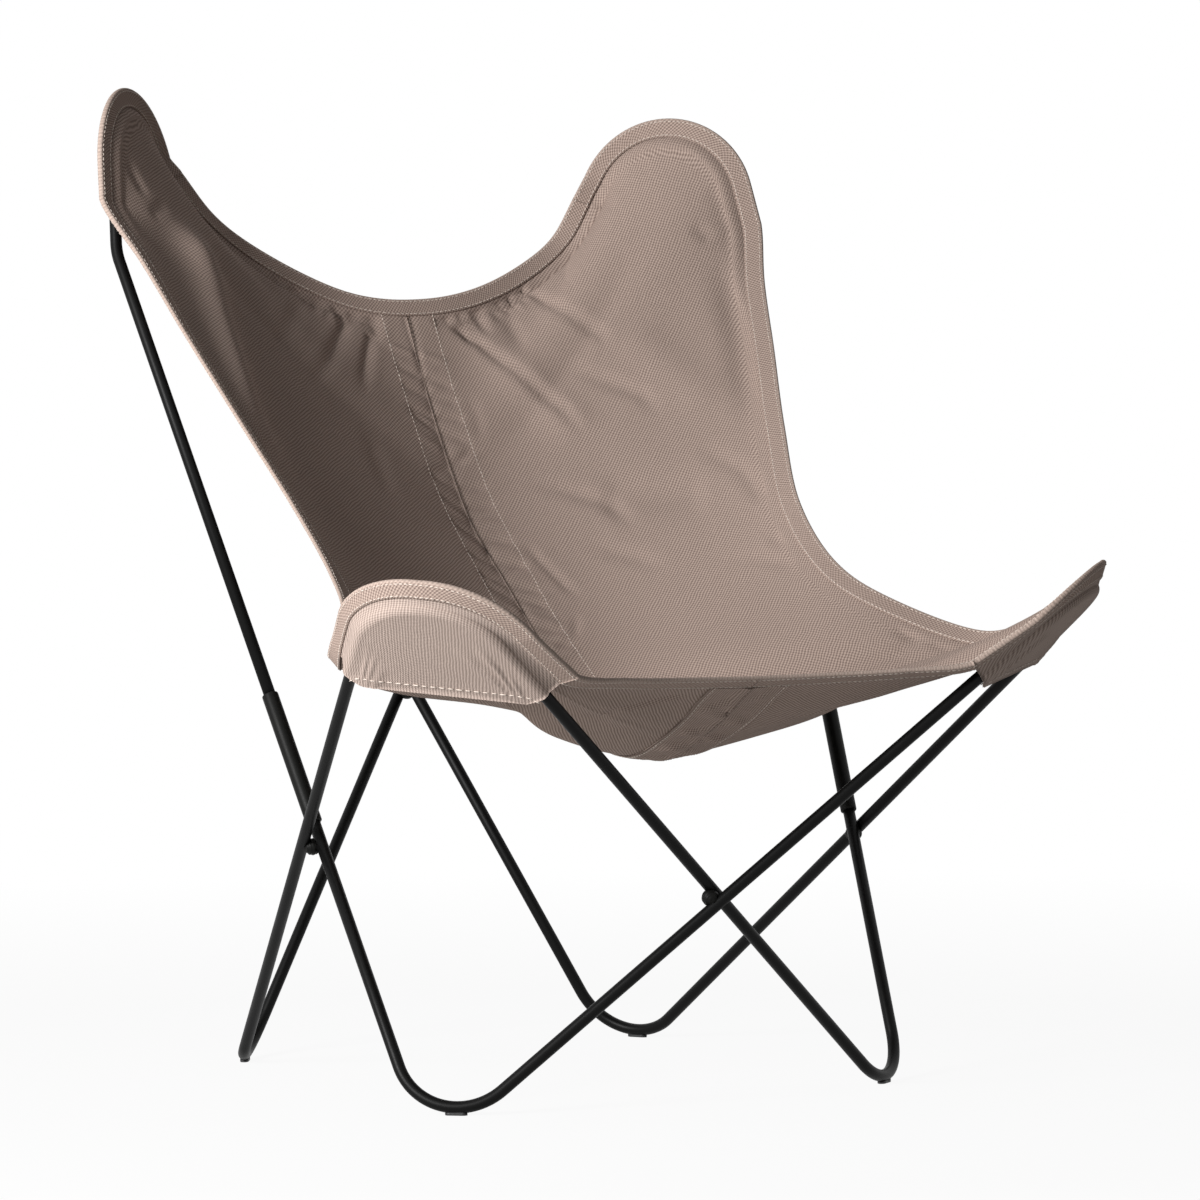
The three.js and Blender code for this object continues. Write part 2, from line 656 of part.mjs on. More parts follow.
// The panel's middle surface: rows from the tape's fold, over the seam and the rod, to the middle seam
function panelColumn(station) {
  const { point, outward, tape, tapeNormal, normal, seamNormal, hooped, lift, spinePoint, start } = station;
  const flat = hooped * layerOffset;
  const riseOver = hooped * Math.max(0, rodClear - layerOffset - lift);
  const column = [along(along(point, tape, tapeLap), tapeNormal, flat)];
  for (const rowShare of overRodShares) {
    const distance = rowShare * rodDiameter;
    const share = Math.sin((Math.PI / 2) * Math.min(1, distance / seamOffset));
    const lifted = along(along(point, outward, -distance), distance ? normal : seamNormal, flat);
    column.push(along(lifted, normal, riseOver * share));
  }
  const end = column.at(-1);
  const chord = end.distanceTo(spinePoint);
  const aligned = Math.max(0, outward.dot(direction(spinePoint, end)));
  const edgePull = mix(Math.min(hoopPull, chord), chord, aligned ** 2);
  for (let i = 1; i <= ribSteps; i += 1) {
    const t = 1 - i / ribSteps;
    const rib = spinePoint.clone().multiplyScalar(2 * t ** 3 - 3 * t ** 2 + 1)
      .addScaledVector(start, chord * spinePullShare * (t ** 3 - 2 * t ** 2 + t))
      .addScaledVector(end, 3 * t ** 2 - 2 * t ** 3)
      .addScaledVector(outward, edgePull * (t ** 3 - t ** 2));
    column.push(rib);
  }
  return column;
}

// Main folds, each a soft ridge between two places of the panel. A place is a share of the way round the
// edge and a share of the way from the rod to the middle seam; a height is a share of the fold's width.
const foldShares = [
  { from: [0.97, 0.1], to: [0.6, 0.57], height: 0.3 },
  { from: [0.93, 0.06], to: [0.65, 0.46], height: 0.26 },
  { from: [0.57, 0.6], to: [0.53, 0.2], height: -0.22 },
  { from: [0.66, 0.4], to: [0.56, 0.14], height: 0.24 },
  { from: [0.17, 0.35], to: [0.38, 0.6], height: 0.24 },
];
function foldedColumns(columns, side) {
  const firstRow = overRodShares.length;
  const [lastColumn, lastRow] = [columns.length - 1, columns[0].length - 1];
  const at = (i, j) => columns[Math.min(Math.max(i, 0), lastColumn)][Math.min(j, lastRow)];
  const placeOn = ([edge, rib]) =>
    at(Math.round(edge * lastColumn), firstRow + Math.round(rib * ribSteps));
  const lines = foldShares.map(({ from, to, height }) => ({
    line: new THREE.Line3(placeOn(from), placeOn(to)),
    height,
  }));
  return columns.map((column, i) => column.map((vertex, j) => {
    if (j <= firstRow || j === lastRow) return vertex;
    const moved = vertex.clone();
    const normal = gridNormal(at, i, j, side);
    const besideTape = Math.min(Math.max((2 * Math.abs(vertex.x)) / middleTapeFrontWidth - 1, 0), 1);
    for (const { line, height } of lines) {
      const distance = line.closestPointToPoint(vertex, true, new THREE.Vector3()).distanceTo(vertex);
      const rise = foldWidth * height * Math.exp(-((distance / foldWidth) ** 2));
      moved.addScaledVector(normal, besideTape * rise);
    }
    return moved;
  }));
}

function gridNormal(at, i, j, side) {
  const alongEdge = at(i + 1, j).clone().sub(at(i - 1, j)).normalize();
  const inward = direction(at(i, j), at(i, j + 1)).add(direction(at(i, j - 1), at(i, j)));
  return new THREE.Vector3().crossVectors(alongEdge, inward).normalize().multiplyScalar(side);
}

// A closed sheet from a grid of middle points: both faces lie half a thickness off it, along the normals
// that are given for a column's first rows or else along the grid's own
function sheet(grid, thickness, side, normals, offMiddle = -Infinity, below = 0) {
  const columns = grid.length;
  const rows = grid[0].length;
  const at = (i, j) => grid[Math.min(Math.max(i, 0), columns - 1)][Math.min(Math.max(j, 0), rows - 1)];
  const positions = [];
  for (const face of [1, -1]) {
    for (let i = 0; i < columns; i += 1) {
      for (let j = 0; j < rows; j += 1) {
        const normal = normals[i][j] ?? gridNormal(at, i, j, side);
        const vertex = along(at(i, j), normal, (face * thickness) / 2 - below);
        vertex.x = side * Math.max(side * vertex.x, offMiddle);
        positions.push(...vertex);
      }
    }
  }
  const index = (face, i, j) => face * columns * rows + i * rows + j;
  const triangles = [];
  const quad = (a, b, c, d) => triangles.push(...(side > 0 ? [a, b, c, a, c, d] : [a, c, b, a, d, c]));
  for (let i = 0; i < columns - 1; i += 1) {
    for (let j = 0; j < rows - 1; j += 1) {
      quad(index(0, i, j), index(0, i + 1, j), index(0, i + 1, j + 1), index(0, i, j + 1));
      quad(index(1, i + 1, j + 1), index(1, i + 1, j), index(1, i, j), index(1, i, j + 1));
    }
    quad(index(1, i, 0), index(1, i + 1, 0), index(0, i + 1, 0), index(0, i, 0));
    quad(index(0, i, rows - 1), index(0, i + 1, rows - 1), index(1, i + 1, rows - 1), index(1, i, rows - 1));
  }
  for (let j = 0; j < rows - 1; j += 1) {
    quad(index(0, 0, j), index(0, 0, j + 1), index(1, 0, j + 1), index(1, 0, j));
    const end = columns - 1;
    quad(index(1, end, j), index(1, end, j + 1), index(0, end, j + 1), index(0, end, j));
  }
  const geometry = new THREE.BufferGeometry();
  geometry.setAttribute('position', new THREE.Float32BufferAttribute(positions, 3));
  geometry.setIndex(triangles);
  geometry.computeVertexNormals();
  return geometry;
}

const edgeNormals = ({ tapeNormal, seamNormal }) => [tapeNormal, seamNormal.clone().normalize()];

// Pocket cloth on the far side of the rod: from the tape's fold, over the seam, round the rod to the hem
const roundRodShares = [1 / 6, 7 / 12, 1];
function pocketColumn(station, hemPoint) {
  const { point, rod, outward, tape, tapeNormal, normal, seamNormal } = station;
  const column = [
    along(along(point, tape, tapeLap), tapeNormal, -layerOffset),
    along(point, seamNormal, -layerOffset),
  ];
  for (const share of roundRodShares) {
    const angle = (share * Math.PI) / 2;
    column.push(along(along(rod, outward, rodClear * Math.cos(angle)), normal, -rodClear * Math.sin(angle)));
  }
  const inner = along(along(rod, outward, -hemInset / 2), normal, -rodClear);
  return [...column, inner, between(inner, hemPoint, 1 / 2), hemPoint];
}

function pocketSheet(stations, side) {
  const ends = [stations[0], stations.at(-1)]
    .map(({ rod, outward, normal }) => along(along(rod, outward, -hemInset), normal, -rodClear));
  const columns = stations.map((station, i) =>
    pocketColumn(station, between(ends[0], ends[1], i / (stations.length - 1))));
  return sheet(columns, clothThickness, side, stations.map(edgeNormals));
}

// Edge tape: a folded strip swept past the stations, open towards the seam so that the cloth lies inside
function tapeSection({ point, tape, tapeNormal, hooped, turn }) {
  const inner = pieceGap + halfCloth + hooped * layerOffset;
  const outer = inner + tapeThickness;
  const fold = tapeLap + pieceGap;
  const shy = (hooped * seamOffset * Math.sin(Math.abs(turn))) / 2 + pieceGap;
  const places = [
    [shy, inner], [fold, inner], [fold, -inner], [shy, -inner],
    [shy, -outer], [tapeWidth, -outer], [tapeWidth, outer], [shy, outer],
  ];
  return places.map(([reach, height]) => along(along(point, tape, reach), tapeNormal, height));
}

function sweptTape(sections, flips, turned) {
  const count = sections[0].length;
  const positions = sections.flat().flatMap((vertex) => [...vertex]);
  const triangles = [];
  const face = (a, b, c) => triangles.push(...(turned ? [a, c, b] : [a, b, c]));
  for (let i = 0; i < sections.length - 1; i += 1) {
    for (let k = 0; k < count; k += 1) {
      const [a, b] = [i * count + k, i * count + ((k + 1) % count)];
      const [c, d] = [a + count, b + count];
      const outward = k < count / 2 - 2 || k > count / 2;
      for (const corners of outward === flips[i] ? [[a, b, d], [a, d, c]] : [[a, b, c], [b, d, c]]) {
        face(...corners);
      }
    }
  }
  const last = (sections.length - 1) * count;
  const cap = [[0, 1, 6], [0, 6, 7], [1, 2, 5], [1, 5, 6], [2, 3, 4], [2, 4, 5]];
  for (const [a, b, c] of cap) {
    face(a, c, b);
    face(last + a, last + b, last + c);
  }
  const geometry = new THREE.BufferGeometry();
  geometry.setAttribute('position', new THREE.Float32BufferAttribute(positions, 3));
  geometry.setIndex(triangles);
  geometry.computeVertexNormals();
  return geometry;
}

// The middle tape backs the middle seam on the underside; its points lie on the panels' own rib lines
function ribAt(column, side, reach) {
  for (let j = column.length - 1; j > 1; j -= 1) {
    const [near, far] = [side * column[j].x, side * column[j - 1].x];
    if (far >= reach) return between(column[j], column[j - 1], Math.max(0, (reach - near) / (far - near)));
  }
  return column[2].clone();
}

const slings = {
  right: { side: 1, ...slingStations(1) },
  left: { side: -1, ...slingStations(-1) },
};
for (const [word, sling] of Object.entries(slings)) {
  const { side, stations, marks } = sling;
  sling.columns = foldedColumns(stations.map(panelColumn), side);
  for (const vertex of sling.columns.flat()) vertex.x = side * Math.max(side * vertex.x, pieceGap / 2);
  const normals = stations.map(edgeNormals);
  add(`sling_panel_${word}`, sheet(sling.columns, clothThickness, side, normals, pieceGap / 2), canvas());
  for (const [name, [from, to]] of [['front_pocket', marks.pocket], ['horn_pocket', marks.horn]]) {
    add(`${name}_${word}`, pocketSheet(stations.slice(from, to + 1), side), canvas());
  }
  const sections = stations.slice(marks.pocket[0], marks.horn[1] + 1).map(tapeSection);
  add(`edge_tape_${word}`, sweptTape(sections, sections.map(() => false), side > 0), tapeCanvas());
}

// The front and back edges each have one tape across both panels, butted to the side tapes at the mouths
const steppedBack = (from, to) => {
  const share = pieceGap / from.point.distanceTo(to.point);
  const keys = ['point', 'tape', 'tapeNormal'];
  const moved = Object.fromEntries(keys.map((key) => [key, between(from[key], to[key], share)]));
  return { ...from, ...moved };
};
function crossTape(pick, turned) {
  const [right, left] = [slings.right, slings.left].map((sling) => pick(sling));
  const middle = { ...right[0], point: corner(0, right[0].point.y, right[0].point.z) };
  for (const run of [right, left]) run[run.length - 1] = steppedBack(run.at(-1), run.at(-2));
  const ordered = [...right.slice(1).reverse(), middle, ...left.slice(1)];
  const flips = ordered.map((_, i) => (i < right.length - 1) !== turned);
  return sweptTape(ordered.map(tapeSection), flips, turned);
}
const frontRun = ({ stations, marks }) => stations.slice(0, marks.pocket[0] + 1);
const backRun = ({ stations, marks }) => stations.slice(marks.horn[1]).reverse();
add('front_tape', crossTape(frontRun, false), tapeCanvas());
add('back_tape', crossTape(backRun, true), tapeCanvas());

// The middle tape's columns are as many as the panels', and its rows go from its right edge to its left
function middleTapeSheet() {
  const below = (clothThickness + tapeThickness) / 2 + middleTapeGap;
  const grid = slings.right.columns.map((rightColumn, i) => {
    const towardsFront = Math.max(0, 1 - i / slings.right.marks.pocket[1]);
    const half = mix(middleTapeWidth, middleTapeFrontWidth, towardsFront) / 2;
    const reaches = middleTapeShares.map((share) => share * half);
    const rightRow = reaches.map((reach) => ribAt(rightColumn, 1, reach));
    const leftRow = reaches.map((reach) => ribAt(slings.left.columns[i], -1, reach));
    const middle = corner(0, rightColumn.at(-1).y, rightColumn.at(-1).z);
    return [...rightRow.reverse(), middle, ...leftRow];
  });
  const normals = slings.right.stations.map(({ spine }, i) => {
    const run = middleSeam.getTangentAt(spine);
    return grid[i].map(() => corner(0, -run.z, run.y));
  });
  return sheet(grid, tapeThickness, 1, normals, -Infinity, below);
}
add('middle_tape', middleTapeSheet(), tapeCanvas());

// The origin is at the middle of the floor that the chair stands over
const bounds = new THREE.Box3().setFromObject(chair);
const middleOf = bounds.getCenter(new THREE.Vector3());
for (const mesh of chair.children) mesh.geometry.translate(-middleOf.x, -middleOf.y, -bounds.min.z);

export default chair;
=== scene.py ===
import math
import bpy
import numpy as np
from mathutils import Matrix, Vector


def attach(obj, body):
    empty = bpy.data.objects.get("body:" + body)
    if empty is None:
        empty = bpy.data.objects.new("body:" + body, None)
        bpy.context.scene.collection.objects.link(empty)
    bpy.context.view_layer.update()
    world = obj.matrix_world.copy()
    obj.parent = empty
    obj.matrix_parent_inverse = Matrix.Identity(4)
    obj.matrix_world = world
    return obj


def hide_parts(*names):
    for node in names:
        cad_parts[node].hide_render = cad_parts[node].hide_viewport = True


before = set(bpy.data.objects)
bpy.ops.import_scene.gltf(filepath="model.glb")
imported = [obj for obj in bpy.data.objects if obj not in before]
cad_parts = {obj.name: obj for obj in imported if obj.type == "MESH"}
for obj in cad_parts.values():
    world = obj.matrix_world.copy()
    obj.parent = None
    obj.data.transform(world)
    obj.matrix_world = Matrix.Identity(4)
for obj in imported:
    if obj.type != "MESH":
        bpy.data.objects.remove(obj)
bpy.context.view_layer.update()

print("packed model loaded,", len(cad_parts), "nodes")

# Shapes are worked out in millimetres about the frame's own middle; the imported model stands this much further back
offset = {"back": 66.028}


def toMetres(points):
    return (np.asarray(points, float) + [0, offset["back"], 0]) / 1000


def addObject(name, data):
    made = bpy.data.objects.new(name, data)
    bpy.context.scene.collection.objects.link(made)
    return made


# The way from the chair towards a camera or a lamp; azimuth 0 is straight in front
def directionTo(azimuth, elevation):
    azimuth, elevation = math.radians(azimuth), math.radians(elevation)
    level = math.cos(elevation)
    return np.array([math.sin(azimuth) * level, -math.cos(azimuth) * level, math.sin(elevation)])


# The photograph's camera, solved from the bent frame
camera = {
    "azimuth": -27.698, "elevation": 2.4938, "roll": -0.4485, "distance": 5969.5, "lens": 193.83, "sensor": 36,
    "aimHeight": 412.5, "aimRight": 52.16, "aimUp": 24.53, "near": 0.1, "far": 100,
}


def makeCamera():
    azimuth, roll = math.radians(camera["azimuth"]), math.radians(camera["roll"])
    back = directionTo(camera["azimuth"], camera["elevation"])
    level = np.array([math.cos(azimuth), math.sin(azimuth), 0])
    upright = np.cross(back, level)
    right = math.cos(roll) * level + math.sin(roll) * upright
    up = -math.sin(roll) * level + math.cos(roll) * upright
    aim = np.array([0, 0, camera["aimHeight"]]) + right * camera["aimRight"] + up * camera["aimUp"]
    data = bpy.data.cameras.new("camera")
    data.lens, data.sensor_width, data.sensor_fit = camera["lens"], camera["sensor"], "HORIZONTAL"
    data.clip_start, data.clip_end = camera["near"], camera["far"]
    made = addObject("camera", data)
    placed = np.eye(4)
    placed[:3] = np.stack([right, up, back, toMetres(aim + back * camera["distance"])], axis=1)
    made.matrix_world = Matrix(placed.tolist())
    bpy.context.scene.camera = made


makeCamera()


# Small geometry helpers
def unit(v):
    v = np.asarray(v, float)
    return v / np.maximum(np.linalg.norm(v, axis=-1, keepdims=True), 1e-12)


def mix(a, b, share):
    return a + (b - a) * share


def ease(value):
    value = np.clip(value, 0, 1)
    return value * value * (3 - 2 * value)


def mirrored(v):
    return np.asarray(v) * [-1, 1, 1]


def turned(v, axis, angle):
    return v * math.cos(angle) + np.cross(axis, v) * math.sin(angle) + axis * np.dot(axis, v) * (1 - math.cos(angle))


def dots(a, b):
    return (a * b).sum(axis=-1, keepdims=True)


# How far each point of a line, or of every line of a grid, lies from the line's start, measured along it
def travelled(points, axis=0):
    lengths = np.linalg.norm(np.diff(points, axis=axis), axis=-1)
    start = np.zeros_like(np.take(lengths, [0], axis=axis))
    return np.concatenate([start, np.cumsum(lengths, axis=axis)], axis=axis)


# Each bend is a circular arc between two straight runs
def bend(before, tip, after, radius):
    toBefore, toAfter = unit(before - tip), unit(after - tip)
    half = math.acos(float(np.dot(toBefore, toAfter))) / 2
    centre = tip + unit(toBefore + toAfter) * radius / math.sin(half)
    start, end = (tip + away * radius / math.tan(half) for away in (toBefore, toAfter))
    axis = unit(np.cross(start - centre, end - centre))
    return {"start": start, "end": end, "centre": centre, "axis": axis, "radius": radius, "sweep": math.pi - 2 * half}


def arcPoint(arc, share):
    return arc["centre"] + turned(arc["start"] - arc["centre"], arc["axis"], arc["sweep"] * share)


def bentPath(corners, radii, steps):
    path = [corners[0]]
    for i in range(1, len(corners) - 1):
        arc = bend(corners[i - 1], corners[i], corners[i + 1], radii[i - 1])
        path += [arcPoint(arc, step / steps) for step in range(steps + 1)]
    return np.array(path + [corners[-1]])


# Centripetal spline through points, with places along it by share of its length
class Spline:
    def __init__(self, points):
        points = np.array(points, float)
        self.points = np.vstack([2 * points[0] - points[1], points, 2 * points[-1] - points[-2]])
        self.spans = len(points) - 1
        self.table = np.array([self.at(share) for share in np.linspace(0, 1, 1201)])
        self.lengths = travelled(self.table)

    def at(self, share):
        place = share * self.spans
        span = min(int(place), self.spans - 1)
        t = place - span
        p0, p1, p2, p3 = self.points[span:span + 4]
        d0, d1, d2 = (max(np.linalg.norm(b - a), 1e-8) ** 0.5 for a, b in ((p0, p1), (p1, p2), (p2, p3)))
        t1 = ((p1 - p0) / d0 - (p2 - p0) / (d0 + d1) + (p2 - p1) / d1) * d1
        t2 = ((p2 - p1) / d1 - (p3 - p1) / (d1 + d2) + (p3 - p2) / d2) * d1
        return p1 + t1 * t + (3 * (p2 - p1) - 2 * t1 - t2) * t ** 2 + (2 * (p1 - p2) + t1 + t2) * t ** 3

    def along(self, shares):
        wanted = np.asarray(shares, float) * self.lengths[-1]
        return np.stack([np.interp(wanted, self.lengths, self.table[:, k]) for k in range(3)], axis=-1)

    def heading(self, shares, step=0.004):
        return unit(self.along(np.minimum(shares + step, 1)) - self.along(np.maximum(shares - step, 0)))


# Meshes from points in millimetres. A cloth's UV map holds its places on the flat cloth, 100 mm to a unit.
uvPerMm = 0.01


def makePiece(name, points, faces, material, uv=None, wear=None):
    mesh = bpy.data.meshes.new(name)
    mesh.from_pydata(toMetres(points).tolist(), [], faces)
    if uv is not None:
        corners = np.empty(len(mesh.loops), int)
        mesh.loops.foreach_get("vertex_index", corners)
        mesh.uv_layers.new(name="UVMap").data.foreach_set("uv", (np.asarray(uv)[corners] * uvPerMm).ravel())
    if wear is not None:
        mesh.attributes.new("wear", "FLOAT", "POINT").data.foreach_set("value", wear.ravel())
    mesh.shade_smooth()
    mesh.materials.append(material)
    mesh.update()
    return addObject(name, mesh)


def gridFaces(rows, columns, closed=False, start=0, flip=False):
    faces = []
    for i in range(rows - 1):
        for j in range(columns if closed else columns - 1):
            here, after = start + i * columns, (j + 1) % columns
            face = [here + j, here + columns + j, here + columns + after, here + after]
            faces.append(face[::-1] if flip else face)
    return faces


def ringOf(middle, sideways, other, radius, sides):
    angles = 2 * math.pi * np.arange(sides)[:, None] / sides
    return middle + radius * (np.cos(angles) * sideways + np.sin(angles) * other)


# A round bar along a path, with its section carried round the bends without twist
def makeBar(name, path, radius, sides, material):
    heading = unit(np.vstack([path[1] - path[0], path[2:] - path[:-2], path[-1] - path[-2]]))
    side = unit(np.cross(heading[0], [0.3, 0.2, 1.0]))
    rings, uv = [], []
    for point, ahead, length in zip(path, heading, travelled(path)):
        side = unit(side - ahead * np.dot(side, ahead))
        rings.append(ringOf(point, side, np.cross(ahead, side), radius, sides))
        uv += [(length, 2 * math.pi * radius * k / sides) for k in range(sides)]
    last = (len(path) - 1) * sides
    ends = [list(range(sides))[::-1], list(range(last, last + sides))]
    faces = gridFaces(len(path), sides, closed=True, flip=True) + ends
    return makePiece(name, np.concatenate(rings), faces, material, uv)


# Materials
def linear(hexColour):
    parts = [int(hexColour[k:k + 2], 16) / 255 for k in (1, 3, 5)]
    return [p / 12.92 if p <= 0.04045 else ((p + 0.055) / 1.055) ** 2.4 for p in parts] + [1]


# Adds a node with its settings and links; where a link is given a whole node, it takes the first output in use
def addNode(tree, kind, links=None, **settings):
    node = tree.nodes.new(kind)
    for key, value in settings.items():
        setattr(node, key, value)
    for socket, value in (links or {}).items():
        if isinstance(value, bpy.types.Node):
            value = next(output for output in value.outputs if output.enabled)
        if isinstance(value, bpy.types.NodeSocket):
            tree.links.new(value, node.inputs[socket])
        else:
            node.inputs[socket].default_value = value
    return node


def newMaterial(name):
    material = bpy.data.materials.new(name)
    material.use_nodes = True
    material.node_tree.nodes.clear()
    return material, material.node_tree


def finishMaterial(tree, sockets):
    shader = addNode(tree, "ShaderNodeBsdfPrincipled", sockets)
    addNode(tree, "ShaderNodeOutputMaterial", {"Surface": shader})


# In the trees below, sockets 0 to 4 of a Map Range are its value and the ends of both ranges, and sockets 0, 6
# and 7 of a Mix are its factor and two colours

# Woven cotton canvas: fat ribs one way, the finer yarns that bind them the other, fuzz on top. The eye gets a
# dry, faintly dotted cloth that shines nowhere. Real ribs lie about 0.6 mm apart; both pitches are several times
# coarser, so that they still show as weave in a picture of the whole chair. Pitches are in millimetres.
canvasLook = {
    "dark": "#73635b", "light": "#b5a196", "worn": "#b9a79c", "wornShare": 0.5, "relief": 0.5, "depth": 0.0005,
    "ribPitch": 2.7, "yarnPitch": 2.7, "ribAngle": 45, "ribs": 0.5, "yarns": 0.3, "fuzz": 0.25, "sway": 3,
}
bindingLook = dict(canvasLook, ribPitch=2.3, ribAngle=-38)
# Painted light: the pocket cloth has a weave of its own, and its colours are paler than the panels' to stand in for the
# light that falls on the pockets' outer faces
pocketPaintedLightLook = dict(canvasLook, dark="#83746c", light="#bcaaa0", yarnPitch=1.9, ribAngle=4)
bandLook = dict(canvasLook, ribAngle=0)


def wovenCanvas(name, look):
    material, tree = newMaterial(name)
    coordinates = addNode(tree, "ShaderNodeTexCoord").outputs
    inMm = addNode(tree, "ShaderNodeVectorMath", {0: coordinates["UV"], 1: (1 / uvPerMm, 1 / uvPerMm, 1)},
                   operation="MULTIPLY")
    drift = addNode(tree, "ShaderNodeTexNoise", {"Vector": inMm, "Scale": 0.05, "Detail": 2.0}).outputs["Color"]
    laid = addNode(tree, "ShaderNodeVectorMath", {0: drift, 1: (look["sway"], look["sway"], 0), 2: inMm},
                   operation="MULTIPLY_ADD")
    height = addNode(tree, "ShaderNodeTexNoise", {"Vector": inMm, "Scale": 1.2, "Detail": 4.0, "Roughness": 0.6})
    height = addNode(tree, "ShaderNodeMath", {0: height, 1: look["fuzz"]}, operation="MULTIPLY")
    for pitch, share, crossing in (("ribPitch", "ribs", 0), ("yarnPitch", "yarns", 90)):
        angle = math.radians(look["ribAngle"] + crossing)
        along = addNode(tree, "ShaderNodeVectorRotate", {"Vector": laid, "Angle": angle}, rotation_type="Z_AXIS")
        wave = addNode(tree, "ShaderNodeTexWave", {
            "Vector": along, "Scale": math.pi / 10 / look[pitch], "Distortion": 0.4, "Detail": 1.0,
            "Detail Scale": 1.5}, wave_type="BANDS", bands_direction="X", wave_profile="SIN").outputs["Fac"]
        height = addNode(tree, "ShaderNodeMath", {0: wave, 1: look[share], 2: height}, operation="MULTIPLY_ADD")
    high = addNode(tree, "ShaderNodeMapRange", {0: height, 1: 0.2, 2: 0.85, 3: 0, 4: 1})
    shade = addNode(tree, "ShaderNodeMix", {0: high, 6: linear(look["dark"]), 7: linear(look["light"])},
                    data_type="RGBA")
    worn = addNode(tree, "ShaderNodeAttribute", attribute_name="wear").outputs["Fac"]
    worn = addNode(tree, "ShaderNodeMath", {0: worn, 1: look["wornShare"]}, operation="MULTIPLY", use_clamp=True)
    shade = addNode(tree, "ShaderNodeMix", {0: worn, 6: shade, 7: linear(look["worn"])}, data_type="RGBA")
    slub = addNode(tree, "ShaderNodeTexNoise", {"Vector": inMm, "Scale": 0.2, "Detail": 2.0})
    slub = addNode(tree, "ShaderNodeMapRange", {0: slub, 1: 0.3, 2: 0.7, 3: 0.97, 4: 1.03})
    cloudy = addNode(tree, "ShaderNodeTexNoise", {"Vector": coordinates["Object"], "Scale": 5.0, "Detail": 3.0})
    cloudy = addNode(tree, "ShaderNodeMapRange", {0: cloudy, 1: 0.3, 2: 0.7, 3: 0.96, 4: 1.04})
    tone = addNode(tree, "ShaderNodeMath", {0: cloudy, 1: slub}, operation="MULTIPLY")
    grey = addNode(tree, "ShaderNodeCombineColor", {0: tone, 1: tone, 2: tone})
    shade = addNode(tree, "ShaderNodeMix", {0: 1.0, 6: shade, 7: grey}, data_type="RGBA", blend_type="MULTIPLY")
    rough = addNode(tree, "ShaderNodeMapRange", {0: height, 1: 0.2, 2: 0.9, 3: 0.97, 4: 0.88})
    bump = addNode(tree, "ShaderNodeBump", {"Strength": look["relief"], "Distance": look["depth"], "Height": height})
    finishMaterial(tree, {
        "Base Color": shade, "Roughness": rough, "Normal": bump, "Sheen Weight": 0.05, "Sheen Roughness": 0.5,
        "Sheen Tint": linear(look["light"]), "Specular IOR Level": 0.2})
    return material


# Twisted polyester thread, a little paler or darker along its plies, and duller than it is smooth
def sewnThread(name, colours):
    material, tree = newMaterial(name)
    place = addNode(tree, "ShaderNodeTexCoord").outputs["Object"]
    ply = addNode(tree, "ShaderNodeTexNoise", {"Vector": place, "Scale": 900.0, "Detail": 2.0})
    shade = addNode(tree, "ShaderNodeMix", {0: ply, 6: linear(colours[0]), 7: linear(colours[1])}, data_type="RGBA")
    bump = addNode(tree, "ShaderNodeBump", {"Strength": 0.4, "Distance": 0.0002, "Height": ply})
    finishMaterial(tree, {"Base Color": shade, "Normal": bump, "Roughness": 0.7, "Sheen Weight": 0.2,
                          "Sheen Roughness": 0.4})
    return material


# Steel with baked powder: nearly black and half matt, with a fine orange peel about 1.4 mm across and the odd
# rubbed spot
def powderCoat(name, look):
    material, tree = newMaterial(name)
    place = addNode(tree, "ShaderNodeTexCoord").outputs["Object"]
    peel = addNode(tree, "ShaderNodeTexNoise", {"Vector": place, "Scale": 700.0, "Detail": 3.0, "Roughness": 0.55})
    broad = addNode(tree, "ShaderNodeTexNoise", {"Vector": place, "Scale": 14.0, "Detail": 3.0})
    rubbed = addNode(tree, "ShaderNodeMapRange", {0: broad, 1: 0.62, 2: 0.8, 3: 0, 4: 0.5})
    shade = addNode(tree, "ShaderNodeMix", {0: rubbed, 6: linear(look["colour"]), 7: linear(look["rubbed"])},
                    data_type="RGBA")
    bump = addNode(tree, "ShaderNodeBump", {"Strength": look["relief"], "Distance": 0.0002, "Height": peel})
    uneven = addNode(tree, "ShaderNodeMapRange", {
        0: broad, 1: 0.3, 2: 0.7, 3: look["rough"] - 0.03, 4: look["rough"] + 0.05})
    fine = addNode(tree, "ShaderNodeMapRange", {0: peel, 1: 0.3, 2: 0.7, 3: -0.03, 4: 0.03})
    rough = addNode(tree, "ShaderNodeMath", {0: uneven, 1: fine}, operation="ADD")
    finishMaterial(tree, {"Base Color": shade, "Normal": bump, "Roughness": rough, "Specular IOR Level": 0.1})
    return material


# Moulded nylon: black and matt, with a fine grain, greyer where the floor has scuffed it
def mouldedPlastic(name, look):
    material, tree = newMaterial(name)
    place = addNode(tree, "ShaderNodeTexCoord").outputs["Object"]
    grain = addNode(tree, "ShaderNodeTexNoise", {"Vector": place, "Scale": 1200.0, "Detail": 2.0})
    scuff = addNode(tree, "ShaderNodeTexNoise", {"Vector": place, "Scale": 220.0, "Detail": 4.0})
    scuffed = addNode(tree, "ShaderNodeMapRange", {0: scuff, 1: 0.55, 2: 0.75, 3: 0, 4: 1})
    shade = addNode(tree, "ShaderNodeMix", {0: scuffed, 6: linear(look["colour"]), 7: linear(look["scuffed"])},
                    data_type="RGBA")
    bump = addNode(tree, "ShaderNodeBump", {"Strength": 0.3, "Distance": 0.0002, "Height": grain})
    rough = addNode(tree, "ShaderNodeMapRange", {0: scuff, 1: 0.4, 2: 0.7, 3: 0.5, 4: 0.7})
    finishMaterial(tree, {"Base Color": shade, "Normal": bump, "Roughness": rough})
    return material


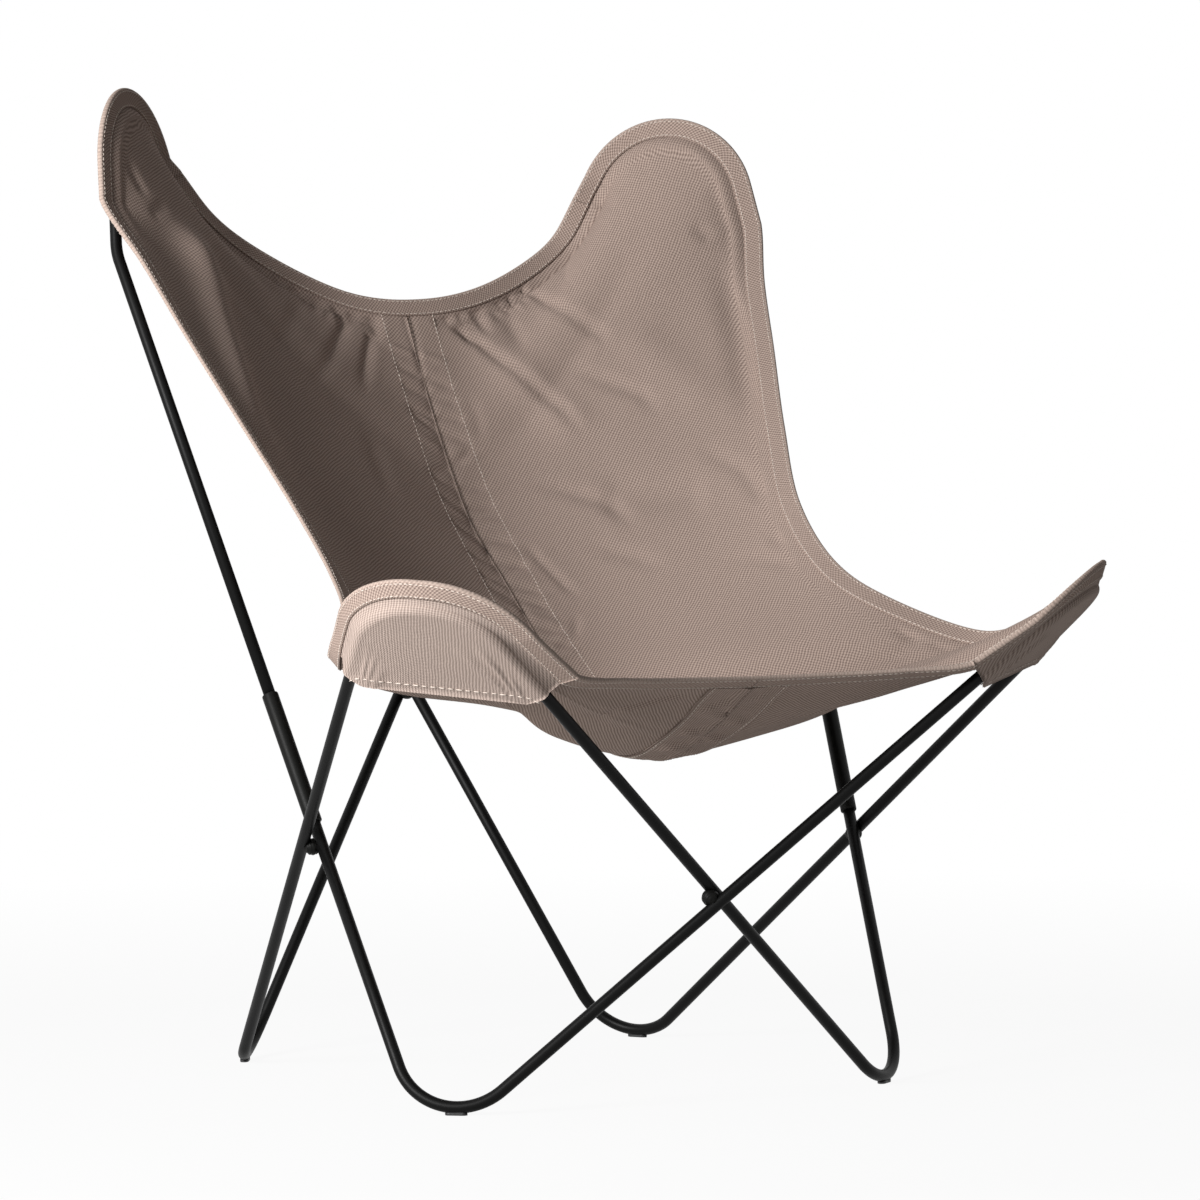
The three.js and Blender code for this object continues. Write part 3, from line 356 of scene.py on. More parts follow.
canvasCloth = wovenCanvas("cotton_canvas_panel_woven", canvasLook)
bindingCloth = wovenCanvas("cotton_canvas_binding_bias_cut", bindingLook)
pocketPaintedLightCloth = wovenCanvas("cotton_canvas_pocket_woven_painted_light", pocketPaintedLightLook)
bandCloth = wovenCanvas("cotton_canvas_band_woven", bandLook)
paleThread = sewnThread("polyester_thread_pale_sewn", ("#e2d6cc", "#bdaea2"))
# The darker thread is painted shade: the stitches beside the middle seam are real, their darker colour stands in for
# the shade in the seam's groove
seamShadeThread = sewnThread("polyester_thread_seam_shade_sewn", ("#8a776b", "#65564c"))
blackPowder, blackSleeve, blackWeld = (powderCoat(f"steel_{part}_black_powder_coated", look) for part, look in (
    ("rod", {"colour": "#0a0a0a", "rubbed": "#121211", "relief": 0.12, "rough": 0.42}),
    ("sleeve", {"colour": "#0e0e0d", "rubbed": "#161615", "relief": 0.15, "rough": 0.45}),
    ("weld", {"colour": "#0d0d0c", "rubbed": "#131312", "relief": 0.3, "rough": 0.48})))
glidePlastic = mouldedPlastic("nylon_glide_black_moulded", {"colour": "#101011", "scuffed": "#1f1f20"})
print("materials made")


# The welded frame: sharp corners of one loop on the +X side, and how far each is rounded
rod = {"diameter": 11, "gap": 0.3, "sides": 28, "bendSteps": 36, "insert": 62}
corners = {
    "horn": (361.5, 364.7, 1015.4), "pocket": (383.1, -482.2, 529.8),
    "frontFoot": (246.25, -246.0, 0.0), "backFoot": (205.23, 246.0, 0.0),
}
bends = {"frontFoot": 59, "backFoot": 58, "pocket": 67, "fold": 60, "horn": 61.5}
horn = {"foldHeight": 749, "height": 127, "lean": 6.5, "skew": {1: 13, -1: 5}, "rise": {1: -12, -1: 12}}
solePad = {"length": 20, "width": 8, "under": 1.5, "edge": 0.7, "clear": 0.1, "stations": 25, "tip": 0.15}
rodRadius = rod["diameter"] / 2

hornTip, pocketTip, frontFoot, backFoot = (np.array(corners[key], float) for key in corners)
for _ in range(4):  # a foot's corner sinks until its arc clears the sole of its glide
    for foot, arc in ((frontFoot, bend(hornTip, frontFoot, mirrored(pocketTip), bends["frontFoot"])),
                      (backFoot, bend(pocketTip, backFoot, mirrored(hornTip), bends["backFoot"]))):
        lowest = arc["centre"][2] - arc["radius"] * math.sqrt(1 - arc["axis"][2] ** 2) - rodRadius
        foot[2] += solePad["under"] - lowest
frontLeg = unit(mirrored(pocketTip) - frontFoot)
crossShift = (rod["diameter"] + rod["gap"]) / 2 / abs(unit(np.cross(frontLeg, mirrored(frontLeg)))[1])


def onHornLoop(v, side):
    return np.array([side * v[0], v[1] + side * crossShift, v[2]])


def onPocketLoop(v, side):
    return np.array([side * v[0], v[1] - side * crossShift, v[2]])


def hornLegs(side):
    return onHornLoop(hornTip, side), onHornLoop(frontFoot, side), onHornLoop(mirrored(backFoot), side)


def crossingOn(startA, endA, startB, endB):
    u, v, w = unit(endA - startA), unit(endB - startB), startA - startB
    cosine = np.dot(u, v)
    return startA + u * (cosine * np.dot(v, w) - np.dot(u, w)) / (1 - cosine ** 2)


# A sleeve stands on a leg of the horn's loop, this far above the crossing
sleeve = {"diameter": 15, "length": 130, "start": 13, "rim": 1.2, "rimSteps": 5, "sides": 40}


def sockets(side):
    tip, front, rear = hornLegs(side)
    otherTip, _, otherRear = hornLegs(-side)
    sideCrossing = crossingOn(front, tip, onPocketLoop(pocketTip, side), onPocketLoop(backFoot, side))
    found = {}
    for key, crossing in (("side", sideCrossing), ("rear", crossingOn(rear, tip, otherRear, otherTip))):
        axis = unit(tip - crossing)
        found[key] = {"axis": axis, "bottom": crossing + axis * sleeve["start"],
                      "top": crossing + axis * (sleeve["start"] + sleeve["length"])}
    return found


def sharpPeak(halfWidth, radius, height):
    excess = radius - height
    a = (radius / halfWidth) ** 2 - 1
    return (excess - math.sqrt(excess ** 2 - a * (radius ** 2 - excess ** 2))) / a


def hornFrame(side):
    tip, front, rear = hornLegs(side)
    level = horn["foldHeight"] + horn["rise"][side]
    foldFront, foldRear = (mix(tip, leg, (level - tip[2]) / (leg[2] - tip[2])) for leg in (front, rear))
    across = unit(foldRear - foldFront)
    backward = np.array([side * across[1], -side * across[0], 0])
    up = turned(np.array([0, 0, 1.0]), unit(np.cross([0, 0, 1], backward)), math.radians(horn["lean"]))
    peakHeight = sharpPeak(np.linalg.norm(foldFront - foldRear) / 2, bends["horn"], horn["height"])
    return foldFront, foldRear, (foldFront + foldRear) / 2 + up * peakHeight - across * horn["skew"][side]


# A rod's path between two sockets; it ends inside them, from their bottom upwards or from their top downwards
def rodPath(side, end, middle, turns):
    inwards = rod["insert"] if end == "bottom" else -rod["insert"]
    first, last = (place[end] + place["axis"] * inwards for place in sockets(side).values())
    return bentPath([first, *middle, last], [bends[turn] for turn in turns], rod["bendSteps"])


def lowerRodPath(side):
    middle = [onHornLoop(frontFoot, side), onPocketLoop(pocketTip, -side), onPocketLoop(backFoot, -side)]
    return rodPath(side, "bottom", middle, ("frontFoot", "pocket", "backFoot"))


def backHoopPath(side):
    foldFront, foldRear, peak = hornFrame(side)
    return rodPath(side, "top", [foldFront, peak, foldRear], ("fold", "horn", "fold"))


# A sleeve with softly rolled rims
def makeSleeve(name, place):
    outer, bore, rim = sleeve["diameter"] / 2, rodRadius + rod["gap"] / 2, sleeve["rim"]
    angles = [math.pi / 2 * step / sleeve["rimSteps"] for step in range(sleeve["rimSteps"] + 1)]
    rolled = [(outer - rim + rim * math.sin(angle), rim - rim * math.cos(angle)) for angle in angles]
    outline = [(bore, 0), *rolled, *((outer, sleeve["length"] * share) for share in (0.25, 0.5, 0.75)),
               *((reach, sleeve["length"] - level) for reach, level in rolled[::-1]), (bore, sleeve["length"])]
    sideways = unit(np.cross(place["axis"], [0, 1, 0]))
    other = np.cross(place["axis"], sideways)
    sides, rings, uv = sleeve["sides"], [], []
    for reach, level in outline:
        rings.append(ringOf(place["bottom"] + place["axis"] * level, sideways, other, reach, sides))
        uv += [(level, 2 * math.pi * outer * k / sides) for k in range(sides)]
    last = (len(outline) - 1) * sides
    faces = gridFaces(len(outline), sides, closed=True, flip=True)
    for k in range(sides):
        after = (k + 1) % sides
        faces.append([after, last + after, last + k, k])
    return makePiece(name, np.concatenate(rings), faces, blackSleeve, uv)


# A rippled weld in the crotch between two rods, kept just off both of them
weld = {"radius": 7.6, "reach": 9, "rings": 22, "sides": 36, "ripple": 0.28, "ripples": 7, "clear": 0.1}


def makeWeld(name, legA, legB, towards):
    pointA, pointB = crossingOn(*legA, *legB), crossingOn(*legB, *legA)
    centre = (pointA + pointB) / 2 + unit(towards) * weld["reach"]
    across = unit(pointB - pointA)
    sideways = unit(np.cross(across, unit(towards)))
    other = np.cross(sideways, across)
    points, clear = [], rodRadius + weld["clear"]
    for polar in np.linspace(0, math.pi, weld["rings"] + 1):
        swell = weld["radius"] + weld["ripple"] * math.sin(weld["ripples"] * 2 * polar)
        level = centre + across * swell * math.cos(polar)
        for point in ringOf(level, sideways, other, swell * math.sin(polar), weld["sides"]):
            for start, end in (legA, legB) * 3:
                ahead = unit(end - start)
                foot = start + ahead * np.dot(point - start, ahead)
                gap = np.linalg.norm(point - foot)
                if gap < clear:
                    point = foot + (point - foot) / gap * clear
            points.append(point)
    return makePiece(name, points, gridFaces(weld["rings"] + 1, weld["sides"], closed=True), blackWeld)


# A saddle of nylon under each foot, flat on the floor and hollowed to the rod above
def makeGlide(name, arc):
    lowest = unit(np.array([0, 0, -1]) + arc["axis"] * arc["axis"][2])
    point = arc["centre"] + lowest * arc["radius"]
    ahead = unit(np.array([arc["axis"][1], -arc["axis"][0], 0]))
    sideways = np.array([-ahead[1], ahead[0], 0])
    half, stations = solePad["width"] / 2, solePad["stations"]
    outerArc, clear = arc["radius"] + rodRadius, rodRadius + solePad["clear"]
    points = []
    for i in range(stations):
        x = -math.cos(math.pi * i / (stations - 1)) * solePad["length"] / 2
        past = max(0, abs(x) - (solePad["length"] / 2 - half))
        reach = max(math.sqrt(max(half ** 2 - past ** 2, 0)), solePad["tip"])
        bottomOfRod = solePad["under"] + outerArc - math.sqrt(outerArc ** 2 - x ** 2)
        corner = min(solePad["edge"], reach / 2)
        outline = [(-reach + corner, 0), (0, 0), (reach - corner, 0), (reach - corner * 0.3, corner * 0.3),
                   (reach, corner)]
        for y in np.linspace(reach, -reach, 9):
            outline.append((y, bottomOfRod + rodRadius - math.sqrt(clear ** 2 - y ** 2)))
        outline += [(-reach, corner), (-reach + corner * 0.3, corner * 0.3)]
        points += [np.array([point[0], point[1], z]) + ahead * x + sideways * y for y, z in outline]
    count = len(outline)
    faces = gridFaces(stations, count, closed=True)
    faces += [list(range(count)), list(range(len(points) - count, len(points)))[::-1]]
    return makePiece(name, points, faces, glidePlastic)


pieces = []


def stand(piece, *replaced, slot=None):
    pieces.append((piece, replaced, slot))
    return piece


words = {1: "right", -1: "left"}
for side, word in words.items():
    for name, node, path in (("bent_rod", "lower_rod", lowerRodPath), ("plug_in_hoop", "back_hoop", backHoopPath)):
        stand(makeBar(f"{name}_{word}", path(side), rodRadius, rod["sides"], blackPowder), f"{node}_{word}",
              slot="frame_rod")
    for key, place in sockets(side).items():
        stand(makeSleeve(f"{key}_sleeve_{word}", place), f"{key}_socket_{word}", slot="frame_socket")
    tip, front, _ = hornLegs(side)
    legDown = (onPocketLoop(pocketTip, side), onPocketLoop(backFoot, side))
    stand(makeWeld(f"side_bead_{word}", (tip, front), legDown, unit(front - tip) + unit(legDown[1] - legDown[0])),
          f"side_weld_{word}", slot="frame_weld")
    frontArc = bend(tip, front, onPocketLoop(pocketTip, -side), bends["frontFoot"])
    backArc = bend(*legDown, onHornLoop(hornTip, -side), bends["backFoot"])
    for end, arc in (("front", frontArc), ("back", backArc)):
        stand(makeGlide(f"{end}_foot_pad_{word}", arc), f"{end}_glide_{word}", slot="floor_glide")
rightTip, rightFront, rightRear = hornLegs(1)
leftTip, leftFront, leftRear = hornLegs(-1)
stand(makeWeld("front_bead", (rightFront, onPocketLoop(pocketTip, -1)), (leftFront, onPocketLoop(pocketTip, 1)),
               (-1, 0, 0)), "front_weld", slot="frame_weld")
stand(makeWeld("rear_bead", (rightTip, rightRear), (leftTip, leftRear), (0, 0, -1)), "back_weld", slot="frame_weld")
print("frame built")


# The sling. Places are shares of half the pocket span, of the pocket reach and of the horn height
cloth = {"thickness": 1.5, "slack": 0.95, "tapeLap": 17.3, "tapeWidth": 19, "tapeThickness": 0.8, "hemInset": 15}
seam = {"offset": 10, "lift": 11, "turn": math.radians(45), "fan": 0.5, "pull": 0.6, "hoopPull": 60}
mouths = {"pocketFront": 236, "pocketRear": 223, "hornFront": 45, "hornRear": 71}
steps = {"front": 63, "side": 99, "back": 54, "mouth": 18, "hoop": 81, "fold": 5, "overRod": 12, "rib": 74}
middle = {
    "frontReach": 392, "frontHeight": 377, "lowReach": 216, "lowHeight": 304, "backReach": 281, "backHeight": 699.5,
    "sagShares": [(1, 1), (0.76, 0.66), (0.44, 0.3), (0.22, 0.08)],
    "riseShares": [(0, 0), (0.13, 0.025), (0.27, 0.1), (0.37, 0.175), (0.475, 0.266), (0.59, 0.375),
                   (0.73, 0.51), (0.855, 0.705), (0.94, 0.87), (1, 1)],
}
spine = Spline(
    [(0, mix(-middle["lowReach"], -middle["frontReach"], y), mix(middle["lowHeight"], middle["frontHeight"], z))
     for y, z in middle["sagShares"]]
    + [(0, mix(-middle["lowReach"], middle["backReach"], y), mix(middle["lowHeight"], middle["backHeight"], z))
       for y, z in middle["riseShares"]])

# Each free edge runs through keys: where the seam lies, which way its binding points, where along the middle
# seam its line of pull starts, and how much it follows the horn's own height
edgeKeys = {
    "front": [
        ((0, -0.812, 0.3704), (0, -0.9, 0.43), 0.065, 0),
        ((0.186, -0.822, 0.3716), (-0.06, -0.9, 0.42), 0.08, 0),
        ((0.352, -0.849, 0.3743), (-0.15, -0.91, 0.39), 0.105, 0)],
    "side": [
        ((0.837, -0.515, 0.388), (0.5, 0.45, 0.74), 0.4, 0),
        ((0.674, -0.309, 0.4232), (0.83, 0.09, 0.55), 0.46, 0.05),
        ((0.633, -0.179, 0.4524), (0.8, -0.15, 0.58), 0.5, 0.1),
        ((0.643, -0.024, 0.5074), (0.74, -0.45, 0.5), 0.545, 0.25),
        ((0.704, 0.122, 0.5828), (0.7, -0.61, 0.37), 0.6, 0.45),
        ((0.769, 0.251, 0.658), (0.73, -0.6, 0.33), 0.655, 0.65),
        ((0.824, 0.364, 0.7271), (0.8, -0.57, 0.2), 0.7, 0.85)],
    "back": [
        ((0.522, 0.659, 0.771), (-0.757, 0.624, 0.194), 0.885, 0.9),
        ((0.42, 0.639, 0.74), (-0.624, 0.539, 0.566), 0.9, 0.7),
        ((0.2755, 0.6116, 0.711), (-0.22, 0.51, 0.83), 0.915, 0.4),
        ((0.135, 0.5913, 0.6938), (-0.08, 0.51, 0.86), 0.93, 0.1),
        ((0, 0.583, 0.6889), (0, 0.51, 0.86), 0.935, 0)],
}
# Round the rod of a pocket or a horn: how far outside the rod the seam lies, its lift towards the sitter, the
# binding's turn, and the start of its line of pull, at the first mouth, both ends and the top of the arc, and the
# last mouth
hoopKeys = {
    "pocket": {"out": (1.7, 1.7, 1, 1, 1), "lift": (0.75, 0.1, 0, 0.5, 1), "turn": (0.1, 0, 0.65, 0.9, 1),
               "spine": (0.13, 0.16, 0.24, 0.32, 0.37)},
    "horn": {"out": (1, 1, 1, 0.95, 0.9), "lift": (0, 0, 0, 0.1, 0.8), "turn": (-0.2, -0.25, 0, 0.35, 0.61),
             "spine": (0.73, 0.75, 0.8, 0.85, 0.87)},
}
halfCloth = cloth["thickness"] / 2
layerOffset = (cloth["thickness"] + rod["gap"]) / 2
rodClear = rodRadius + halfCloth + cloth["slack"]
halfSpan = corners["pocket"][0]
scales = (halfSpan, -corners["pocket"][1], corners["horn"][2])


def edgeKey(key, side):
    place, out, start, rise = key
    point = np.array(place) * scales * [side, 1, 1]
    point[1] += side * crossShift * mix(-1, 1, rise) * min(1, place[0] / seam["fan"])
    point[2] += rise * horn["rise"][side]
    return {"point": point, "tape": unit(np.array(out) * [side, 1, 1]), "spine": start}


# Even stations through the keys; the first and last key only steer the ends
def evenStations(keys, count, samples=900):
    line = Spline([key["point"] for key in keys])
    spans = len(keys) - 1
    t = np.linspace(1 / spans, 1 - 1 / spans, samples)
    lengths = travelled([line.at(value) for value in t])
    stations = []
    for wanted in np.linspace(0, lengths[-1], count + 1):
        place = np.interp(wanted, lengths, t) * spans
        first = min(int(place), spans - 1)
        share = place - first
        before, after = keys[first], keys[first + 1]
        stations.append({
            "point": line.at(place / spans), "spine": mix(before["spine"], after["spine"], share),
            "tape": unit(mix(before["tape"], after["tape"], mix(share, ease(share), 0.5)))})
    return stations


def hoopStations(arc, ends, shares, inside):
    normal = arc["axis"] * (1 if np.dot(arc["axis"], inside - arc["centre"]) > 0 else -1)
    before, during = steps["mouth"], steps["hoop"]
    rods = [mix(ends[0], arc["start"], i / before) for i in range(before)]
    rods += [arcPoint(arc, i / during) for i in range(during + 1)]
    rods += [mix(arc["end"], ends[1], (i + 1) / before) for i in range(before)]
    knots = [0, before, before + during / 2, before + during, 2 * before + during]
    startOut = unit(arc["start"] - arc["centre"])
    stations = []
    for i, centreLine in enumerate(rods):
        values = {key: np.interp(i, knots, shares[key]) for key in shares}
        outward = turned(startOut, arc["axis"], arc["sweep"] * min(max((i - before) / during, 0), 1))
        out, lift, turn = seam["offset"] * values["out"], seam["lift"] * values["lift"], seam["turn"] * values["turn"]
        stations.append({
            "point": centreLine + outward * out + normal * lift, "rod": centreLine, "outward": outward,
            "normal": normal, "tape": outward * math.cos(turn) + normal * math.sin(turn), "turn": turn,
            "lift": lift, "spine": values["spine"]})
    return stations


def slingStations(side):
    inside = np.array([0, 0, horn["foldHeight"]])
    tip, ahead, behind = (onPocketLoop(v, side) for v in (pocketTip, mirrored(frontFoot), backFoot))
    foldFront, foldRear, peak = hornFrame(side)
    pocketEnds = [tip + unit(leg - tip) * mouths[end] for leg, end in ((ahead, "pocketFront"), (behind, "pocketRear"))]
    hornEnds = [fold + unit(peak - fold) * mouths[end]
                for fold, end in ((foldFront, "hornFront"), (foldRear, "hornRear"))]
    pocket = hoopStations(bend(ahead, tip, behind, bends["pocket"]), pocketEnds, hoopKeys["pocket"], inside)
    hornHoop = hoopStations(bend(foldFront, peak, foldRear, bends["horn"]), hornEnds, hoopKeys["horn"], inside)
    lead = steps["mouth"] // 2
    front, sideKeys, back = ([edgeKey(key, side) for key in edgeKeys[part]] for part in ("front", "side", "back"))
    beforeFront, afterBack = (dict(key, point=mirrored(key["point"]), tape=mirrored(key["tape"]))
                              for key in (front[1], back[-2]))
    frontRun = evenStations([beforeFront, *front, pocket[0], pocket[lead]], steps["front"])
    sideRun = evenStations([pocket[-1 - lead], pocket[-1], *sideKeys, hornHoop[0], hornHoop[lead]], steps["side"])
    backRun = evenStations([hornHoop[-1 - lead], hornHoop[-1], *back, afterBack], steps["back"])
    marks = np.cumsum([steps["front"], len(pocket) - 1, steps["side"], len(hornHoop) - 1])
    return [*frontRun[:-1], *pocket, *sideRun[1:-1], *hornHoop, *backRun[1:]], marks


def smoothed(values, width):
    values = np.asarray(values, float)
    reach = int(3 * width)
    kernel = np.exp(-0.5 * (np.arange(-reach, reach + 1) / width) ** 2)
    kernel /= kernel.sum()
    padded = np.concatenate([values[reach:0:-1], values, values[-2:-reach - 2:-1]])
    return np.apply_along_axis(np.convolve, 0, padded, kernel, "valid")


# Arrays along the whole edge of one half, from the middle of the front to the middle of the back. A change of
# way is spread over a few stations on both sides.
spread = {"ways": 5.0, "lengths": 3, "mouth": 0.75}


def edgeFrames(side):
    stations, marks = slingStations(side)
    point = np.array([s["point"] for s in stations])
    run = np.zeros_like(point)
    run[1:-1] = point[2:] - point[:-2]
    run[0], run[-1] = [side, 0, 0], [-side, 0, 0]
    tape = np.array([s["tape"] for s in stations])
    gap = np.min([np.abs(np.arange(len(stations)) - mark) for mark in marks], axis=0)
    hooped = np.where(["rod" in s for s in stations], 1, np.maximum(0, 1 - gap / (steps["mouth"] * spread["mouth"])))
    tapeNormal = unit(np.cross(tape, unit(run) * side))
    normal, outward = tapeNormal.copy(), tape.copy()
    for i, s in enumerate(stations):
        if "rod" in s:
            outward[i], normal[i] = s["outward"], s["normal"]
            tapeNormal[i] = s["normal"] * math.cos(s["turn"]) - s["outward"] * math.sin(s["turn"])
    tape, tapeNormal, normal, outward = (unit(smoothed(v, spread["ways"])) for v in (tape, tapeNormal, normal, outward))
    for v in (tape, tapeNormal, normal, outward):
        v[[0, -1], 0] = 0
    start = smoothed([s["spine"] for s in stations], spread["ways"])
    start[0], start[-1] = stations[0]["spine"], stations[-1]["spine"]
    spinePoint = spine.along(start)
    sideways = smoothed(np.minimum(1, np.abs(point[:, 0]) / (seam["fan"] * halfSpan)) * math.pi / 2, spread["ways"])
    heading = np.where(point[:, 1] < spinePoint[:, 1], -1, 1) * np.cos(sideways)
    lineStart = spine.heading(start) * heading[:, None]
    lineStart[:, 0] = side * np.sin(sideways)
    return {
        "side": side, "marks": marks, "point": point, "tape": unit(tape), "tapeNormal": unit(tapeNormal),
        "normal": unit(normal), "outward": unit(outward),
        "seamNormal": (tapeNormal + normal) / (1 + dots(tapeNormal, normal)),
        "hooped": smoothed(hooped, spread["lengths"])[:, None],
        "lift": smoothed([s.get("lift", 0) for s in stations], spread["lengths"])[:, None],
        "turn": smoothed([s.get("turn", 0) for s in stations], spread["ways"])[:, None],
        "spinePoint": spinePoint, "start": unit(lineStart), "spine": start, "rod": [s.get("rod") for s in stations],
    }


edges = {side: edgeFrames(side) for side in words}
print("sling edges laid out,", len(edges[1]["point"]), "stations a side")


# The rows of cloth that both layers have outside the seam, under the binding
def lapRows(part, level):
    return [part["point"] + part["tape"] * cloth["tapeLap"] * share + part["tapeNormal"] * level
            for share in np.linspace(1, 0, steps["fold"] + 1)[:-1]]


# Middle surface of one half: from the binding's fold, over the seam and the rod, to the middle seam
def panelGrid(edge):
    flat = edge["hooped"] * layerOffset
    riseOver = edge["hooped"] * np.maximum(0, rodClear - layerOffset - edge["lift"])
    rows = lapRows(edge, flat)
    for share in np.linspace(0, 1, steps["overRod"] + 1):
        distance = share * rod["diameter"]
        over = math.sin(math.pi / 2 * min(1, distance / seam["offset"]))
        across = mix(edge["seamNormal"], edge["normal"], min(1, share * 4))
        rows.append(edge["point"] - edge["outward"] * distance + across * flat + edge["normal"] * riseOver * over)
    end, begin = rows[-1], edge["spinePoint"]
    chord = np.linalg.norm(end - begin, axis=1, keepdims=True)
    aligned = np.maximum(0, dots(edge["outward"], unit(end - begin)))
    edgePull = mix(np.minimum(seam["hoopPull"], chord), chord, aligned ** 2)
    for i in range(1, steps["rib"] + 1):
        t = 1 - i / steps["rib"]
        rows.append(begin * (2 * t ** 3 - 3 * t ** 2 + 1)
                    + edge["start"] * chord * seam["pull"] * (t ** 3 - 2 * t ** 2 + t)
                    + end * (3 * t ** 2 - 2 * t ** 3) + edge["outward"] * edgePull * (t ** 3 - t ** 2))
    return np.stack(rows, axis=1)


# Where the lines of pull crowd together, under the horn, the cloth evens itself out between its seams
evening = {"rounds": 500, "pull": 0.9, "rodRows": 10, "seamRows": 8, "from": 0.5, "fadeIn": 0.12, "to": 0.995,
           "fadeOut": 0.04}


def evenedOut(grid):
    count, rows = grid.shape[:2]
    around, row = np.arange(count)[:, None] / (count - 1), np.arange(rows)[None]
    first = steps["fold"] + steps["overRod"] + 1
    free = ease((row - first) / evening["rodRows"]) * ease((rows - 2 - row) / evening["seamRows"])
    free = free * ease((around - evening["from"]) / evening["fadeIn"])
    free = free * ease((evening["to"] - around) / evening["fadeOut"])
    free = free[1:-1, 1:-1, None] * evening["pull"]
    grid = grid.copy()
    for _ in range(evening["rounds"]):
        mean = (grid[2:, 1:-1] + grid[:-2, 1:-1] + grid[1:-1, 2:] + grid[1:-1, :-2]) / 4
        grid[1:-1, 1:-1] += (mean - grid[1:-1, 1:-1]) * free
    return grid


def gridNormals(grid, side):
    return unit(np.cross(np.gradient(grid, axis=0), np.gradient(grid, axis=1))) * side


# Lengths on the flat cloth: each line of pull is rolled out from the middle seam
def rolledOut(grid, edge):
    side = edge["side"]
    normals = gridNormals(grid, side)
    count, rows = grid.shape[:2]
    flat = np.zeros((count, rows, 2))
    across = np.tile([float(side), 0, 0], (count, 1))
    flat[:, -1, 1] = edge["spine"] * spine.lengths[-1]
    for j in range(rows - 2, -1, -1):
        across = unit(across - normals[:, j] * dots(across, normals[:, j]))
        lengthwise = np.cross(normals[:, j], across)
        moved = grid[:, j] - grid[:, j + 1]
        flat[:, j] = flat[:, j + 1] + np.concatenate([dots(moved, across), dots(moved, lengthwise)], axis=1) * side
    return flat


# The cut cloth: the triangles of a coarse net each turn as a whole, and the net closes up again, until hardly
# any of it is stretched. Gives every point's place on the flat cloth.
flattening = {"edgeSteps": 64, "rowSteps": 20, "rounds": 40}


def cutFlat(grid, start):
    count, rows = grid.shape[:2]
    overEdge, overRow = (np.unique(np.linspace(0, size - 1, flattening[key]).round().astype(int))
                         for size, key in ((count, "edgeSteps"), (rows, "rowSteps")))
    net = grid[np.ix_(overEdge, overRow)].reshape(-1, 3)
    plan = start[np.ix_(overEdge, overRow)].reshape(-1, 2)
    place = np.arange(len(net)).reshape(len(overEdge), len(overRow))
    a, b, c, d = (block.ravel() for block in (place[:-1, :-1], place[1:, :-1], place[1:, 1:], place[:-1, 1:]))
    triangles = np.concatenate([np.stack([a, b, c], axis=1), np.stack([a, c, d], axis=1)])
    p, q, r = (net[triangles[:, k]] for k in range(3))
    cross = np.cross(q - p, r - p)
    size = np.linalg.norm(cross, axis=1)
    ahead = unit(q - p)
    sideways = np.cross(unit(cross), ahead)
    own = np.stack([np.concatenate([dots(v, ahead), dots(v, sideways)], axis=1) for v in (q - p, r - p)], axis=2)
    u, v = plan[triangles[:, 1]] - plan[triangles[:, 0]], plan[triangles[:, 2]] - plan[triangles[:, 0]]
    if (u[:, 0] * v[:, 1] - u[:, 1] * v[:, 0]).sum() < 0:
        own[:, 1] *= -1
    inverse = np.linalg.inv(own)
    slopes = np.concatenate([-inverse.sum(axis=1, keepdims=True), inverse], axis=1)
    stiffness = np.zeros((len(net), len(net)))
    for k in range(3):
        for m in range(3):
            np.add.at(stiffness, (triangles[:, k], triangles[:, m]), size * (slopes[:, k] * slopes[:, m]).sum(axis=1))
    stiffness[0, 0] += 1
    release = np.linalg.inv(stiffness)
    for _ in range(flattening["rounds"]):
        slope = np.einsum("tki,tkj->tij", plan[triangles], slopes)
        angle = np.arctan2(slope[:, 1, 0] - slope[:, 0, 1], slope[:, 0, 0] + slope[:, 1, 1])
        turnedBack = np.array([[np.cos(angle), -np.sin(angle)], [np.sin(angle), np.cos(angle)]])
        wanted = np.zeros((len(net), 2))
        for k in range(3):
            np.add.at(wanted, triangles[:, k], size[:, None] * np.einsum("ijt,tj->ti", turnedBack, slopes[:, k]))
        wanted[0] += plan[0]
        plan = release @ wanted
    plan = plan.reshape(len(overEdge), len(overRow), 2)
    flat = np.empty((count, rows, 2))
    for axis in range(2):
        columns = [np.interp(np.arange(count), overEdge, plan[:, k, axis]) for k in range(len(overRow))]
        flat[..., axis] = [np.interp(np.arange(rows), overRow, line) for line in np.transpose(columns)]
    return flat


# What every sheet is declared with
sheets = {}


def declare(piece, flat, held, restsOn, area):
    sheets[piece.name] = {"piece": piece, "flat": flat, "held": held, "restsOn": restsOn, "area": area, "stitches": []}
    print(f"{piece.name}: cut from {flat[0]:.1f} x {flat[1]:.1f} mm, {area:.0f} mm2")


def areaOf(grid):
    u, v = grid[1:, 1:] - grid[:-1, :-1], grid[:-1, 1:] - grid[1:, :-1]
    if grid.shape[-1] == 2:
        return float(np.abs(u[..., 0] * v[..., 1] - u[..., 1] * v[..., 0]).sum() / 2)
    return float(np.linalg.norm(np.cross(u, v), axis=-1).sum() / 2)


